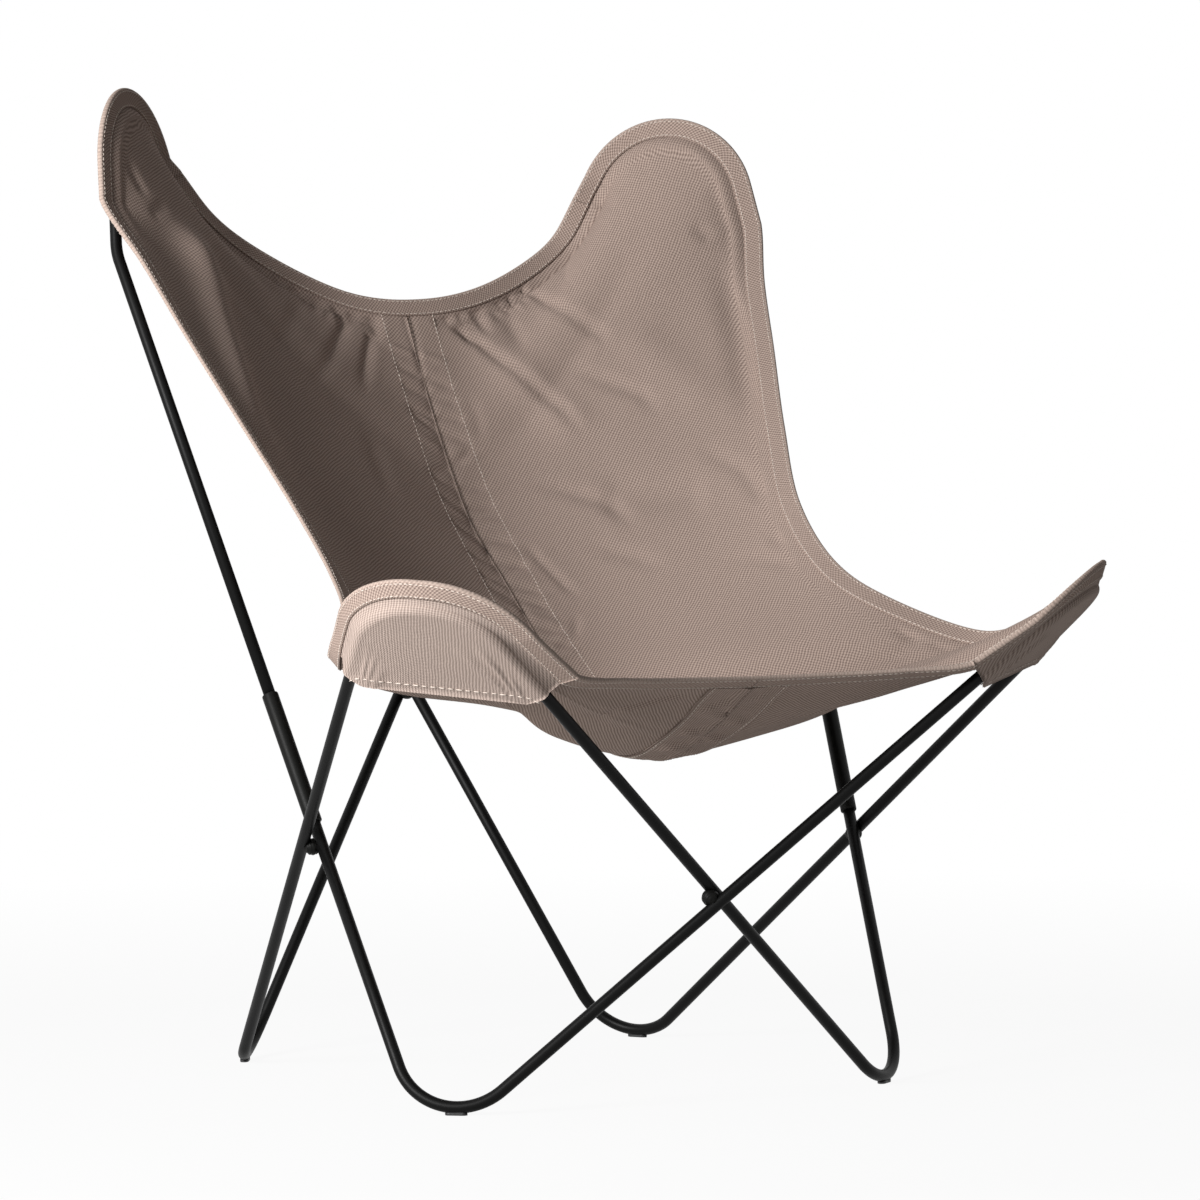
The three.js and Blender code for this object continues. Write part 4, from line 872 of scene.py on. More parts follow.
# A closed sheet round a grid of middle points
def sheetPiece(name, grid, normals, thickness, material, uv, side, below=0.0, offMiddle=None):
    count, rows = grid.shape[:2]
    layers = [grid + normals * (face * thickness / 2 - below) for face in (1, -1)]
    if offMiddle is not None:
        for layer in layers:
            layer[..., 0] = side * np.maximum(side * layer[..., 0], offMiddle)
    size = count * rows
    rim = [i * rows for i in range(count)] + [(count - 1) * rows + j for j in range(1, rows)]
    rim += [i * rows + rows - 1 for i in range(count - 2, -1, -1)] + [j for j in range(rows - 2, 0, -1)]
    faces = gridFaces(count, rows, flip=side < 0) + gridFaces(count, rows, start=size, flip=side > 0)
    for a, b in zip(rim, rim[1:] + rim[:1]):
        faces.append([a, b, b + size, a + size][::side])
    points = np.concatenate(layers).reshape(-1, 3)
    return makePiece(name, points, faces, material, np.concatenate([uv, uv]).reshape(-1, 2))


grids, flats = {}, {}
for side, edge in edges.items():
    grids[side] = evenedOut(panelGrid(edge))
    flats[side] = cutFlat(grids[side], rolledOut(grids[side], edge))


# Folds. A place is a share of the way round the edge and a share of the way from the rod to the middle. A fold
# runs through its places, is so high and wide in millimetres, and fades over these shares of its length at its
# two ends; it stands up towards the sitter where its height is positive
frontSwell = ([(0.17, 0.35), (0.38, 0.6)], 4, 24, (0.2, 0.2))
folds = {
    1: [
        # Broad swells of the whole cloth
        ([(0.97, 0.1), (0.6, 0.57)], 3, 24, (0.2, 0.2)),
        ([(0.57, 0.6), (0.53, 0.2)], -3, 24, (0.2, 0.2)),
        ([(0.66, 0.4), (0.56, 0.14)], 2.5, 24, (0.2, 0.2)),
        frontSwell,
        # Sharp lines of pull
        ([(0.98, 0), (0.938, 0.554), (0.807, 0.689), (0.658, 0.635), (0.602, 0.581)], -3.6, 6, (0.05, 0.3)),
        ([(0.951, 0), (0.913, 0.486), (0.807, 0.649)], -1.8, 8, (0.05, 0.6)),
        ([(0.936, 0), (0.827, 0.486), (0.689, 0.459), (0.649, 0.459)], -3, 6, (0.05, 0.3)),
        ([(0.771, 0.595), (0.64, 0.514), (0.596, 0.392), (0.573, 0.324)], -2.2, 8, (0.5, 0.3)),
        ([(0.629, 0.811), (0.584, 0.676), (0.558, 0.554), (0.533, 0.473)], -2.4, 9, (0.5, 0.3)),
        ([(0.556, 0.257), (0.531, 0.081), (0.516, 0)], -1.8, 8, (0.5, 0.1)),
        ([(0.504, 0.041), (0.496, 0)], -1.1, 5, (0.5, 0.1)),
        ([(0.507, 0.297), (0.496, 0.108), (0.487, 0)], -1.2, 7, (0.6, 0.1)),
        ([(0.547, 0.662), (0.52, 0.486), (0.509, 0.392)], -1.7, 9, (0.4, 0.4)),
        ([(0.676, 0.014), (0.651, 0), (0.633, 0)], -2, 6, (0.3, 0.4)),
        ([(0.664, 0.122), (0.627, 0.068)], -2, 7, (0.4, 0.3)),
        ([(0.618, 0.054), (0.578, 0), (0.544, 0)], -3.5, 14, (0.3, 0.3)),
        ([(0.909, 0), (0.871, 0.351), (0.876, 0.419)], -1.5, 7, (0.2, 0.4)),
        ([(0.849, 0), (0.813, 0.189)], -1.2, 5, (0.1, 0.5)),
        ([(0.796, 0), (0.758, 0.068)], -1.1, 6, (0.1, 0.5)),
        ([(0.88, 0.838), (0.807, 0.865), (0.747, 0.892)], -1.2, 6, (0.4, 0.4)),
        ([(0.58, 0.878), (0.556, 0.838), (0.529, 0.77), (0.513, 0.716)], -2, 5, (0.3, 0.3)),
        ([(0.507, 0.757), (0.484, 0.838)], -1.6, 5, (0.4, 0.3)),
        ([(0.444, 0), (0.438, 0), (0.436, 0.162), (0.433, 0.311)], -2.2, 6, (0.1, 0.5)),
        ([(0.433, 0), (0.427, 0)], -1.4, 5, (0.1, 0.5)),
    ],
    -1: [
        frontSwell,
        ([(0.742, 0.23), (0.636, 0.284), (0.584, 0.189), (0.551, 0.081), (0.515, 0)], 13, 27, (0.15, 0.45)),
        ([(0.973, 0), (0.842, 0.662), (0.638, 0.568)], -3.6, 7, (0.05, 0.5)),
        ([(0.978, 0.27), (0.889, 0.743), (0.771, 0.743)], -3.2, 6, (0.05, 0.5)),
        ([(0.944, 0.189), (0.753, 0.527), (0.604, 0.405)], -2, 9, (0.1, 0.5)),
        ([(0.958, 0), (0.936, 0.405)], -1.1, 3.2, (0.05, 0.6)),
        ([(0.964, 0), (0.931, 0.459)], -1.1, 3.2, (0.05, 0.6)),
        ([(0.969, 0), (0.949, 0.378)], -1.1, 3.2, (0.05, 0.6)),
        ([(0.682, 0.014), (0.669, 0.054), (0.662, 0.108)], -2.6, 6, (0.3, 0.3)),
        ([(0.7, 0.176), (0.656, 0.135), (0.647, 0.149)], -1.8, 6, (0.3, 0.4)),
        ([(0.722, 0.743), (0.611, 0.716), (0.569, 0.662)], -1.8, 11, (0.4, 0.4)),
        ([(0.031, 0), (0.058, 0.203), (0.104, 0.405), (0.2, 0.635)], 2.2, 6, (0.2, 0.3)),
        ([(0.371, 0.459), (0.233, 0.473), (0.14, 0.419)], 2, 7, (0.3, 0.4)),
    ],
}
# Where folds fade out: beside the middle seam, and outside the seam of an edge that is free or on a rod
foldFades = {"middle": 26, "over": 14, "free": 5, "hooped": 28}
# Small gathers that the back binding draws together on both sides of the middle
gathers = {"seed": 11, "count": 17, "reach": (30, 140), "length": (16, 55), "shrink": 0.4, "depth": (2.0, 3.4),
           "width": (3.8, 5.6), "jitter": 0.8, "fan": 0.5, "fanJitter": 0.15, "stations": 160}
# Slanting puckers that run on from one side of the middle seam to the other, between the two outer stitch lines,
# most of them valleys that lean one way, and the dip of the seam itself
puckers = {"seed": 5, "first": 16.0, "last": 30, "spacing": (15, 26), "slant": (8, 22), "ways": [1, 1, 1, -1],
           "from": 2, "to": 30, "depth": (1.2, 2.3), "kinds": [-1, -1, 0.8], "width": 5.2, "widths": (0.8, 1.3)}
seamDip = {"depth": 1.6, "width": 4.0}
firstRib = steps["fold"] + steps["overRod"]


# Height of one crease over a flat plan: a soft ridge or valley along a line of places on it, with a shallow bank
# of the other kind on both sides
def crease(plan, path, height, width, fades):
    path = np.asarray(path, float)
    starts = travelled(path)
    nearest, along = np.full(plan.shape[:2], np.inf), np.zeros(plan.shape[:2])
    for a, b, begin, length in zip(path, path[1:], starts, np.diff(starts)):
        share = np.clip(((plan - a) @ (b - a)) / length ** 2, 0, 1)
        distance = np.linalg.norm(plan - a - share[..., None] * (b - a), axis=-1)
        closer = distance < nearest
        nearest = np.where(closer, distance, nearest)
        along = np.where(closer, (begin + share * length) / starts[-1], along)
    fading = ease(along / max(fades[0], 0.001)) * ease((1 - along) / max(fades[1], 0.001))
    return height * fading * (1.35 * np.exp(-(nearest / width) ** 2) - 0.35 * np.exp(-(nearest / (2.4 * width)) ** 2))


def gathered(plan, side):
    height, seamLine = np.zeros(plan.shape[:2]), plan[:, steps["fold"]]
    chance = np.random.default_rng(gathers["seed"] + side)
    down = unit(plan[-1, -1] - plan[-1, firstRib])
    reaches = np.linalg.norm(seamLine - seamLine[-1], axis=1)
    for k in range(gathers["count"]):
        wanted = mix(*gathers["reach"], (k + chance.uniform(0, gathers["jitter"])) / gathers["count"])
        i = len(reaches) - 1 - int(np.argmin(np.abs(reaches[::-1][:gathers["stations"]] - wanted)))
        fan = gathers["fan"] * wanted / gathers["reach"][1]
        fan += chance.uniform(-gathers["fanJitter"], gathers["fanJitter"])
        length = chance.uniform(*gathers["length"]) * (1 - gathers["shrink"] * k / gathers["count"])
        end = seamLine[i] + unit(down + np.array([side * fan, 0])) * length
        height += crease(plan, [seamLine[i], end], -chance.uniform(*gathers["depth"]),
                         chance.uniform(*gathers["width"]), (0, 0.8))
    return height


def puckered(plan, side):
    height = np.zeros(plan.shape[:2])
    chance = np.random.default_rng(puckers["seed"])
    seamRow = steps["fold"]
    middleRun = np.concatenate([plan[0, seamRow:], plan[1:-1, -1], plan[-1, :seamRow - 1:-1]])
    lengths, place = travelled(middleRun), puckers["first"]
    while place < lengths[-1] - puckers["last"]:
        i = int(np.searchsorted(lengths, place))
        onward = unit(middleRun[min(i + 3, len(middleRun) - 1)] - middleRun[max(i - 3, 0)])
        sideways = np.array([onward[1], -onward[0]])
        sideways *= np.sign(np.dot(sideways, plan[len(plan) // 2, firstRib] - middleRun[i]))
        slant = -side * chance.uniform(*puckers["slant"]) * chance.choice(puckers["ways"])
        ends = [middleRun[i] + sideways * puckers["from"], middleRun[i] + sideways * puckers["to"] + onward * slant]
        depth = chance.uniform(*puckers["depth"]) * chance.choice(puckers["kinds"])
        height += crease(plan, ends, depth, puckers["width"] * chance.uniform(*puckers["widths"]), (0.15, 0.3))
        place += chance.uniform(*puckers["spacing"])
    return height


def foldHeights(grid, plan, side):
    height = np.zeros(grid.shape[:2])
    for path, lift, width, fades in folds[side]:
        places = [plan[int(round(around * (len(plan) - 1))), firstRib + int(round(inwards * steps["rib"]))]
                  for around, inwards in path]
        height += crease(plan, places, lift, width, fades)
    height *= ease((np.abs(grid[..., 0]) - foldFades["middle"]) / foldFades["over"])
    hooped, fromSeam = edges[side]["hooped"], travelled(grid, 1)
    fromSeam -= fromSeam[:, steps["fold"]:steps["fold"] + 1]
    fading = ease((fromSeam - hooped * rod["diameter"]) / mix(foldFades["free"], foldFades["hooped"], hooped))
    height = (height + gathered(plan, side)) * fading + puckered(plan, side)
    return height - seamDip["depth"] * np.exp(-(grid[..., 0] / seamDip["width"]) ** 2)


# Normals of a sheet; outside the seam and on it they follow the binding
def sheetNormals(grid, side, part):
    normals = gridNormals(grid, side)
    normals[:, :steps["fold"]] = part["tapeNormal"][:, None]
    normals[:, steps["fold"]] = unit(part["seamNormal"])
    return normals


surfaces, tops = {}, {}
for side, word in words.items():
    grid, flat = grids[side], flats[side]
    surfaces[side] = grid + gridNormals(grid, side) * foldHeights(grid, flat, side)[..., None]
    tops[side] = sheetNormals(surfaces[side], side, edges[side])
    piece = sheetPiece(f"canvas_panel_{word}", surfaces[side], tops[side], cloth["thickness"], canvasCloth, flat, side,
                       offMiddle=rod["gap"] / 2)
    stand(piece, f"sling_panel_{word}", slot="sling_canvas")
    declare(piece, np.ptp(flat.reshape(-1, 2), axis=0), "hung", [f"bent_rod_{word}", f"plug_in_hoop_{word}"],
            areaOf(flat))
print("sling panels made")


# Pockets: from the binding's fold, over the seam, round the rod and down to a turned hem, which is sewn and twice
# as thick
hem = {"depth": 13, "thickness": 2.3, "row": 10.5, "proud": 0.15}
pocketSteps = {"turn": 9, "fall": 24}
# Puckers that spread from both ends of a pocket: shares along it and down it, with their height outwards
pocketFolds = [
    ([(0.05, 0.95), (0.2, 0.55), (0.3, 0.4)], 2.2, 5), ([(0.1, 1), (0.27, 0.7), (0.42, 0.55)], 1.8, 5),
    ([(0.03, 0.8), (0.12, 0.45)], 1.6, 4), ([(0.97, 0.62), (0.88, 0.5)], 1.4, 4),
    ([(0.96, 0.8), (0.84, 0.66)], 1.6, 4), ([(0.95, 0.95), (0.8, 0.82)], 1.2, 4),
]


def pocketGrid(part, rods):
    rows = lapRows(part, -layerOffset)
    rows.append(part["point"] - part["seamNormal"] * layerOffset)
    for angle in np.linspace(0.15, 1, pocketSteps["turn"]) * math.pi / 2:
        rows.append(rods + part["outward"] * rodClear * math.cos(angle) - part["normal"] * rodClear * math.sin(angle))
    begin = rows[-1]
    inner, hemmed = (rods - part["outward"] * inset - part["normal"] * rodClear
                     for inset in (cloth["hemInset"] / 2, cloth["hemInset"]))
    hemmed = mix(hemmed[0], hemmed[-1], np.linspace(0, 1, len(rods))[:, None])
    for share in np.linspace(0, 1, pocketSteps["fall"] + 1)[1:]:
        rows.append(mix(mix(begin, inner, share), mix(inner, hemmed, share), share))
    return np.stack(rows, axis=1)


def pocketHeights(plan, fromRow):
    height = np.zeros(plan.shape[:2])
    for path, lift, width in pocketFolds:
        places = [plan[int(along * (len(plan) - 1)), int(round(fromRow + down * (plan.shape[1] - 1 - fromRow)))]
                  for along, down in path]
        height -= crease(plan, places, lift, width, (0.3, 0.5))
    return height * ease((np.arange(plan.shape[1]) - fromRow + 1) / 4)


# The line at a depth above the hem's edge
def aboveHem(grid, down, depth):
    return np.array([[np.interp(lengths[-1] - depth, lengths, column[:, k]) for k in range(3)]
                     for column, lengths in zip(grid, down)])


pocketRows = {}
for side, word in words.items():
    edge, marks = edges[side], edges[side]["marks"]
    for label, first, last, rodName in (("front", marks[0], marks[1], "bent_rod"),
                                        ("horn", marks[2], marks[3], "plug_in_hoop")):
        chosen = slice(first, last + 1)
        part = {key: edge[key][chosen] for key in ("point", "tape", "tapeNormal", "normal", "outward", "seamNormal")}
        grid = pocketGrid(part, np.array(edge["rod"][chosen]))
        normals, down = sheetNormals(grid, side, part), travelled(grid, 1)
        uv = np.stack([grid @ unit(grid[-1, -1] - grid[0, -1]), down], axis=-1)
        grid = grid + normals * pocketHeights(uv, steps["fold"] + pocketSteps["turn"])[..., None]
        turnedIn = ease((hem["depth"] + 1 - (down[:, -1:] - down)) / 2)[..., None]
        thickness = mix(cloth["thickness"], hem["thickness"], turnedIn)
        piece = sheetPiece(f"{label}_pocket_cloth_{word}", grid, normals, thickness, pocketPaintedLightCloth, uv, side)
        stand(piece, f"{label}_pocket_{word}", slot="pocket_canvas")
        declare(piece, (travelled(part["point"])[-1], down[:, -1].max()), "stretched", [f"{rodName}_{word}"],
                areaOf(grid))
        line, faced = (aboveHem(values, down, hem["row"]) for values in (grid, normals))
        pocketRows[piece.name] = [(line + face * faced * (hem["thickness"] / 2 + hem["proud"]), face * faced)
                                  for face in (-1, 1)]
print("pockets made")


# Bindings: a folded strip with a round outer edge, open towards the seam. Its section is a row of places, each so
# far out from the seam and so high; it keeps shy of the seam where it is turned up on a rod
lap = {"inside": (0.5, 1), "outside": (0.2, 0.4, 0.6, 0.8, 0.93), "round": 0.6, "roundSteps": 9}
bothPanels = ["canvas_panel_right", "canvas_panel_left"]


def lapShape(frames):
    inner = rod["gap"] + halfCloth + frames["hooped"] * layerOffset
    shy = frames["hooped"] * seam["offset"] * np.sin(np.abs(frames["turn"])) / 2 + rod["gap"]
    return inner, inner + cloth["tapeThickness"], shy


def tapeGrid(frames):
    inner, outer, shy = lapShape(frames)
    fold = cloth["tapeLap"] + rod["gap"]
    bulge = cloth["tapeWidth"] - fold + lap["round"]
    halves = []
    for face in (1, -1):
        within = [(shy, face * inner)] + [(mix(shy, fold, s), face * inner) for s in lap["inside"]]
        over = [(shy, face * outer)] + [(mix(shy, fold, s), face * outer) for s in lap["outside"]]
        halves.append((within, over))
    (withinTop, overTop), (withinBelow, overBelow) = halves
    rounded = [(np.full_like(shy, fold - lap["round"] + bulge * math.cos(angle)), outer * math.sin(angle))
               for angle in np.linspace(-math.pi / 2, math.pi / 2, lap["roundSteps"])[1:-1]]
    places = withinTop + withinBelow[::-1] + overBelow + rounded + overTop[::-1]
    rings = [frames["point"] + frames["tape"] * reach + frames["tapeNormal"] * level for reach, level in places]
    return np.stack(rings, axis=1), np.concatenate([reach for reach, _ in places], axis=1)


def bindingOf(name, node, frames, side, restsOn):
    grid, reaches = tapeGrid(frames)
    count, around = reaches.shape
    lengths = travelled(frames["point"])
    uv = np.stack([np.tile(lengths[:, None], (1, around)), reaches], axis=-1).reshape(-1, 2)
    ends = [list(range(around)), list(range((count - 1) * around, count * around))[::-1]]
    faces = gridFaces(count, around, closed=True, flip=side > 0) + [end[::side] for end in ends]
    piece = makePiece(name, grid.reshape(-1, 3), faces, bindingCloth, uv, wear=(reaches > cloth["tapeLap"]) * 1.0)
    area = areaOf(np.concatenate([grid, grid[:, :1]], axis=1)) / 2
    declare(stand(piece, node, slot="edge_tape"), (area / lengths[-1], lengths[-1]), "folded", restsOn, area)
    tapeRows[name] = rowsOn(frames)


# Rows of stitches on both faces of a binding: one near its outer edge, one along its inner edge
bindingRows = {"outer": cloth["tapeWidth"] - 3.2, "inner": 2.0, "proud": 0.12}
tapeRows = {}


def rowsOn(frames):
    _, outer, shy = lapShape(frames)
    return [(frames["point"] + frames["tape"] * reach + frames["tapeNormal"] * face * (outer + bindingRows["proud"]),
             face * frames["tapeNormal"])
            for reach in (bindingRows["outer"], shy + bindingRows["inner"]) for face in (1, -1)]


# The part of an edge that a binding runs along
def pick(edge, chosen):
    return {key: edge[key][chosen] for key in ("point", "tape", "tapeNormal", "hooped", "turn")}


for side, word in words.items():
    frames = pick(edges[side], slice(edges[side]["marks"][0], edges[side]["marks"][3] + 1))
    bindingOf(f"side_binding_{word}", f"edge_tape_{word}", frames, side, [f"canvas_panel_{word}"])
frontRun, backRun = (slice(edges[1]["marks"][0], None, -1), slice(edges[1]["marks"][3], None))
for label, run, side in (("front", frontRun, -1), ("back", backRun, 1)):
    right, left = (pick(edges[half], run) for half in (1, -1))
    frames = {key: np.concatenate([right[key], left[key][-2::-1]]) for key in right}
    short = rod["gap"] / np.linalg.norm(np.diff(frames["point"], axis=0), axis=1)[[0, -1]]
    for values in frames.values():  # both ends stop just short of the side bindings
        values[0], values[-1] = mix(values[0], values[1], short[0]), mix(values[-1], values[-2], short[1])
    bindingOf(f"{label}_binding", f"{label}_tape", frames, side, bothPanels)
print("bindings made")


# The band that backs the middle seam on the underside
band = {"width": 60, "frontWidth": 79, "gap": 0.5, "steps": 10, "rows": 320}


# A line on the cloth at a share of the band's half width, from the front binding to the back one, with the way
# that the cloth faces there
def lineAlong(side, share):
    laid = np.concatenate([surfaces[side], tops[side]], axis=2)
    seamRow = steps["fold"]
    if share == 0:
        line = np.concatenate([laid[0, seamRow:], laid[1:-1, -1], laid[-1, :seamRow - 1:-1]])
    else:
        towardsFront = np.maximum(0, 1 - np.arange(len(laid)) / edges[1]["marks"][1])
        wanted = share * mix(band["width"], band["frontWidth"], towardsFront) / 2
        seamX = side * laid[:, seamRow, 0]
        inside = np.flatnonzero(seamX > wanted)
        crossings = []
        for i in inside:
            column = laid[i, ::-1]
            reach = np.maximum.accumulate(side * column[:, 0])
            crossings.append([np.interp(wanted[i], reach, column[:, k]) for k in range(6)])
        ends = []
        for i, other in ((inside[0], inside[0] - 1), (inside[-1], inside[-1] + 1)):
            near = (wanted[i] - seamX[other]) / (seamX[i] - seamX[other])
            ends.append(mix(laid[other, seamRow], laid[i, seamRow], near)[None])
        line = np.concatenate([ends[0], crossings, ends[1]])
    lengths = travelled(line[:, :3])
    even = np.linspace(0, lengths[-1], band["rows"])
    line = np.stack([np.interp(even, lengths, line[:, k]) for k in range(6)], axis=1)
    return line[:, :3], unit(line[:, 3:])


bandShares = np.linspace(1, 0, band["steps"] + 1)
bandLines = [lineAlong(1, share) for share in bandShares] + [lineAlong(-1, share) for share in bandShares[-2::-1]]
bandPoints, bandNormals = (np.stack(values, axis=1) for values in zip(*bandLines))
for values in (bandPoints, bandNormals):
    values[:, band["steps"], 0] = 0
bandLength = travelled(bandPoints[:, band["steps"]])
bandUv = np.stack([bandPoints[..., 0], np.tile(bandLength[:, None], (1, len(bandLines)))], axis=-1)
bandBelow = (cloth["thickness"] + cloth["tapeThickness"]) / 2 + band["gap"]
bandPiece = sheetPiece("middle_band", bandPoints, unit(bandNormals), cloth["tapeThickness"], bandCloth, bandUv, 1,
                       below=bandBelow)
stand(bandPiece, "middle_tape", slot="middle_tape")
declare(bandPiece, (band["frontWidth"], bandLength[-1]), "stretched", bothPanels, areaOf(bandPoints))
print("middle band made")


# Stitches. Each row is a line of points with the way that the thread faces; a tree of nodes lays the stitches
# along it, evenly spaced and turned to the line, each a little longer or shorter than the next. Sizes in
# millimetres.
stitching = {
    "binding": {"pitch": 4.7, "length": 4.0, "width": 0.95, "seed": 3},
    "hem": {"pitch": 7.4, "length": 6.0, "width": 1.1, "seed": 7},
    "band": {"pitch": 4.9, "length": 4.0, "width": 0.85, "seed": 12},
    "uneven": (0.85, 1.12),
}


def stitchTree():
    tree = bpy.data.node_groups.new("lockstitch_row", "GeometryNodeTree")
    sockets = {}
    for label, kind in (("Geometry", "Geometry"), ("Pitch", "Float"), ("Stitch", "Vector"), ("Seed", "Int"),
                        ("Thread", "Material")):
        made = tree.interface.new_socket(label, in_out="INPUT", socket_type=f"NodeSocket{kind}")
        sockets[label] = made.identifier
    tree.interface.new_socket("Geometry", in_out="OUTPUT", socket_type="NodeSocketGeometry")
    given = addNode(tree, "NodeGroupInput").outputs
    line = addNode(tree, "GeometryNodeMeshToCurve", {"Mesh": given["Geometry"]})
    spaced = addNode(tree, "GeometryNodeResampleCurve", {"Curve": line, "Length": given["Pitch"]}, mode="LENGTH")
    tangent = addNode(tree, "GeometryNodeInputTangent")
    facing = addNode(tree, "GeometryNodeInputNamedAttribute", {"Name": "facing"}, data_type="FLOAT_VECTOR")
    lengthwise = addNode(tree, "FunctionNodeAlignRotationToVector", {"Vector": tangent}, axis="X")
    upright = addNode(tree, "FunctionNodeAlignRotationToVector", {"Rotation": lengthwise, "Vector": facing},
                      axis="Z", pivot_axis="X")
    low, high = stitching["uneven"]
    uneven = addNode(tree, "FunctionNodeRandomValue", {2: low, 3: high, "Seed": given["Seed"]}, data_type="FLOAT")
    size = addNode(tree, "ShaderNodeVectorMath", {0: given["Stitch"], "Scale": uneven}, operation="SCALE")
    bead = addNode(tree, "GeometryNodeMeshUVSphere", {"Segments": 6, "Rings": 4, "Radius": 0.5})
    placed = addNode(tree, "GeometryNodeInstanceOnPoints", {
        "Points": spaced, "Instance": bead, "Rotation": upright, "Scale": size})
    real = addNode(tree, "GeometryNodeRealizeInstances", {"Geometry": placed})
    threaded = addNode(tree, "GeometryNodeSetMaterial", {"Geometry": real, "Material": given["Thread"]})
    addNode(tree, "NodeGroupOutput", {"Geometry": threaded})
    return tree, sockets


lockstitch, stitchSockets = stitchTree()


def sewRows(name, rows, kind, thread, owner, slot):
    look, links, start = stitching[kind], [], 0
    for line, _ in rows:
        links += [(start + k, start + k + 1) for k in range(len(line) - 1)]
        start += len(line)
    rowMesh = bpy.data.meshes.new(f"{name}_rows")
    rowMesh.from_pydata(toMetres(np.concatenate([line for line, _ in rows])).tolist(), links, [])
    facing = np.concatenate([ways for _, ways in rows])
    rowMesh.attributes.new("facing", "FLOAT_VECTOR", "POINT").data.foreach_set("vector", facing.ravel())
    guide = addObject(f"{name}_rows", rowMesh)
    sewing = guide.modifiers.new("sewing", "NODES")
    sewing.node_group = lockstitch
    for label, value in (("Pitch", look["pitch"] / 1000), ("Seed", look["seed"]), ("Thread", thread),
                         ("Stitch", [look[key] / 1000 for key in ("length", "width", "width")])):
        sewing[stitchSockets[label]] = value
    sewn = bpy.data.meshes.new_from_object(guide.evaluated_get(bpy.context.evaluated_depsgraph_get()))
    guide.modifiers.remove(sewing)
    bpy.data.objects.remove(guide)
    sewn.name = name
    sewn.shade_smooth()
    sheets[owner]["stitches"].append(stand(addObject(name, sewn), slot=slot))


for rowsOf, kind, slot in ((tapeRows, "binding", "edge_tape"), (pocketRows, "hem", "pocket_canvas")):
    for name, rows in rowsOf.items():
        sewRows(f"{name}_stitches", rows, kind, paleThread, name, slot)
# Two rows hold the band's long edges and one, in thread painted darker to carry the shade of the seam's groove, runs
# beside the seam itself
for name, thread, places in (("middle_band_stitches", paleThread, ((1, 0.9), (-1, 0.9))),
                             ("middle_seam_stitches", seamShadeThread, ((1, 0.04),))):
    rows = []
    for side, share in places:
        line, upward = lineAlong(side, share)
        rows += [(line + upward * (halfCloth + bindingRows["proud"]), upward),
                 (line - upward * (bandBelow + cloth["tapeThickness"] / 2 + bindingRows["proud"]), -upward)]
    sewRows(name, rows, "band", thread, "middle_band", "middle_tape")
print("stitches sewn")


# Floor, lamps and the open background. The camera and reflections see white; the floor's own grey shows, with the
# chair's shadow, only near the chair, from the first of the two clear distances inwards. In metres.
studio = {"floor": 60, "world": 0.12, "near": 0.93, "clear": (0.8, 2.2), "aimHeight": 0.45,
          "colours": ("#c9c9c8", "#cfcfce"), "white": (1, 1, 1, 1)}
softBoxes = [
    {"name": "key_box", "azimuth": -72, "elevation": 15, "distance": 2.8, "size": 0.9, "power": 112},
    {"name": "top_box", "azimuth": -80, "elevation": 65, "distance": 2.6, "size": 1.2, "power": 5},
]


# 1 where the camera, a reflection or a clear part looks, 0 for the light on the object
def seenDirectly(tree):
    rays = addNode(tree, "ShaderNodeLightPath").outputs
    seen = rays["Is Camera Ray"]
    for ray in ("Is Glossy Ray", "Is Transmission Ray"):
        seen = addNode(tree, "ShaderNodeMath", {0: seen, 1: rays[ray]}, operation="ADD", use_clamp=True)
    return seen


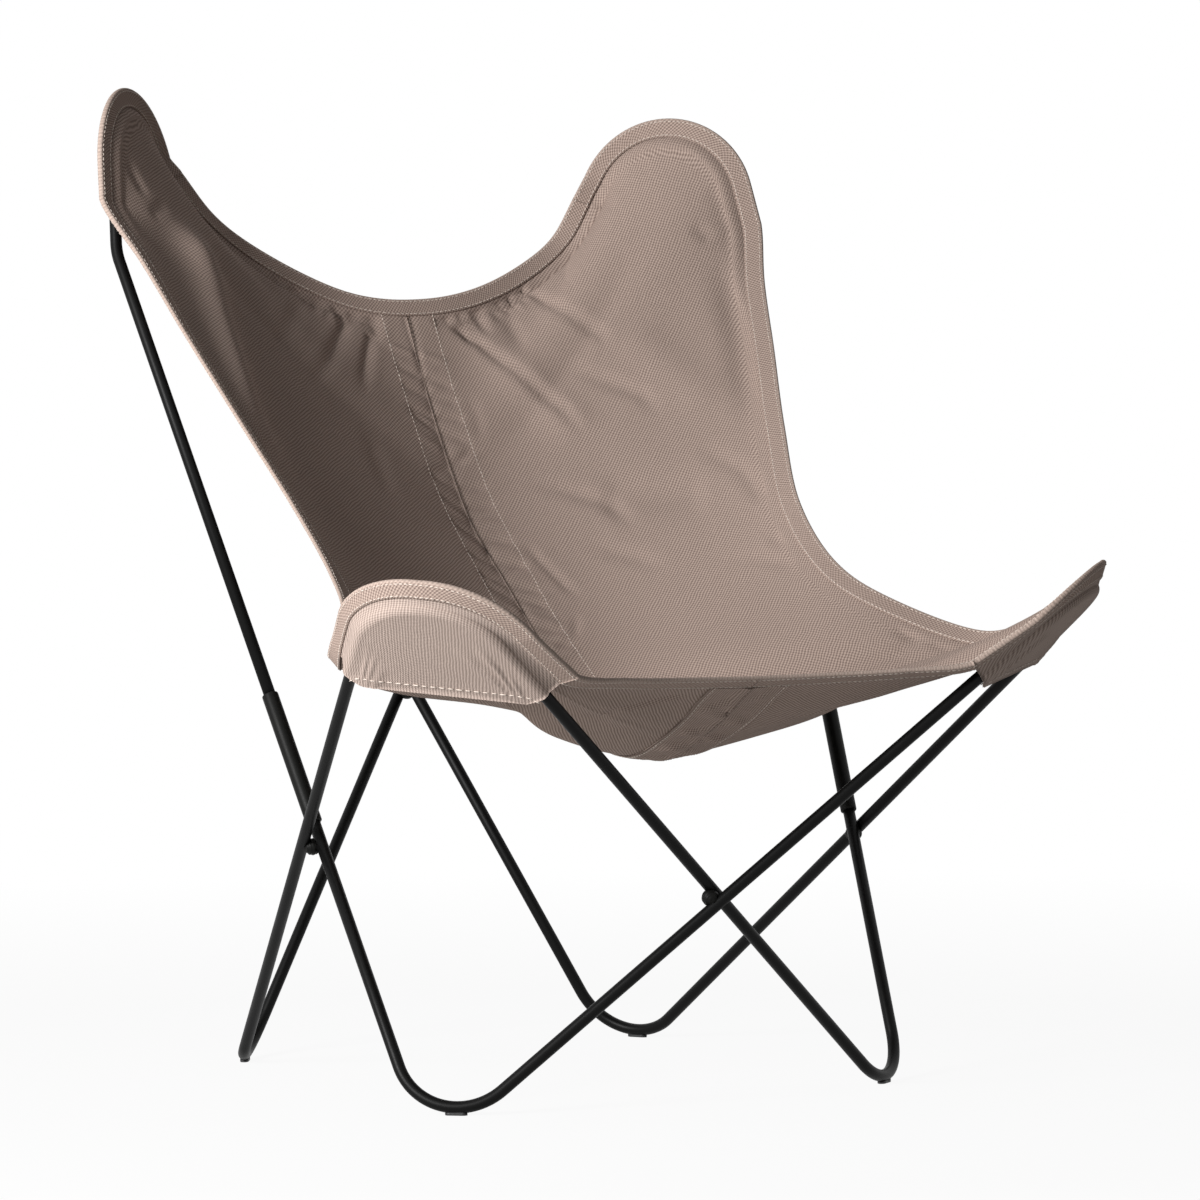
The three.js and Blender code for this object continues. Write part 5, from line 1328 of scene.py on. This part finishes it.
def makeFloor():
    half = studio["floor"] / 2
    mesh = bpy.data.meshes.new("floor")
    mesh.from_pydata([(-half, -half, 0), (half, -half, 0), (half, half, 0), (-half, half, 0)], [], [(0, 1, 2, 3)])
    material, tree = newMaterial("floor_white_matt_painted")
    place = addNode(tree, "ShaderNodeTexCoord").outputs["Object"]
    grain = addNode(tree, "ShaderNodeTexNoise", {"Vector": place, "Scale": 3.0})
    dark, light = studio["colours"]
    shade = addNode(tree, "ShaderNodeMix", {0: grain, 6: linear(dark), 7: linear(light)}, data_type="RGBA")
    diffuse = addNode(tree, "ShaderNodeBsdfDiffuse", {"Color": shade})
    glow = addNode(tree, "ShaderNodeEmission", {"Color": studio["white"], "Strength": 1.0})
    distance = addNode(tree, "ShaderNodeVectorMath", {0: place}, operation="LENGTH").outputs["Value"]
    begin, end = studio["clear"]
    clear = addNode(tree, "ShaderNodeMapRange", {0: distance, 1: begin, 2: end, 3: studio["near"], 4: 1.0})
    share = addNode(tree, "ShaderNodeMath", {0: seenDirectly(tree), 1: clear}, operation="MULTIPLY")
    lifted = addNode(tree, "ShaderNodeMixShader", {0: share, 1: diffuse, 2: glow})
    addNode(tree, "ShaderNodeOutputMaterial", {"Surface": lifted})
    mesh.materials.append(material)
    addObject("floor", mesh)


def makeWorld():
    world = bpy.data.worlds.new("studio")
    bpy.context.scene.world = world
    world.use_nodes = True
    tree = world.node_tree
    tree.nodes.clear()
    strength = addNode(tree, "ShaderNodeMapRange", {0: seenDirectly(tree), 1: 0, 2: 1, 3: studio["world"], 4: 1.0})
    background = addNode(tree, "ShaderNodeBackground", {"Color": studio["white"], "Strength": strength})
    addNode(tree, "ShaderNodeOutputWorld", {"Surface": background})


def makeLamp(box):
    data = bpy.data.lights.new(box["name"], "AREA")
    data.shape, data.size, data.energy = "SQUARE", box["size"], box["power"]
    lamp, back = addObject(box["name"], data), Vector(directionTo(box["azimuth"], box["elevation"]))
    lamp.location = Vector((0, 0, studio["aimHeight"])) + back * box["distance"]
    lamp.rotation_euler = back.to_track_quat("Z", "Y").to_euler()


makeFloor()
makeWorld()
for box in softBoxes:
    makeLamp(box)
bpy.context.scene.view_settings.view_transform = "Standard"


# Hand over to the frame
for piece, replaced, slot in pieces:
    if replaced:
        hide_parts(*replaced)
    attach(piece, "root")
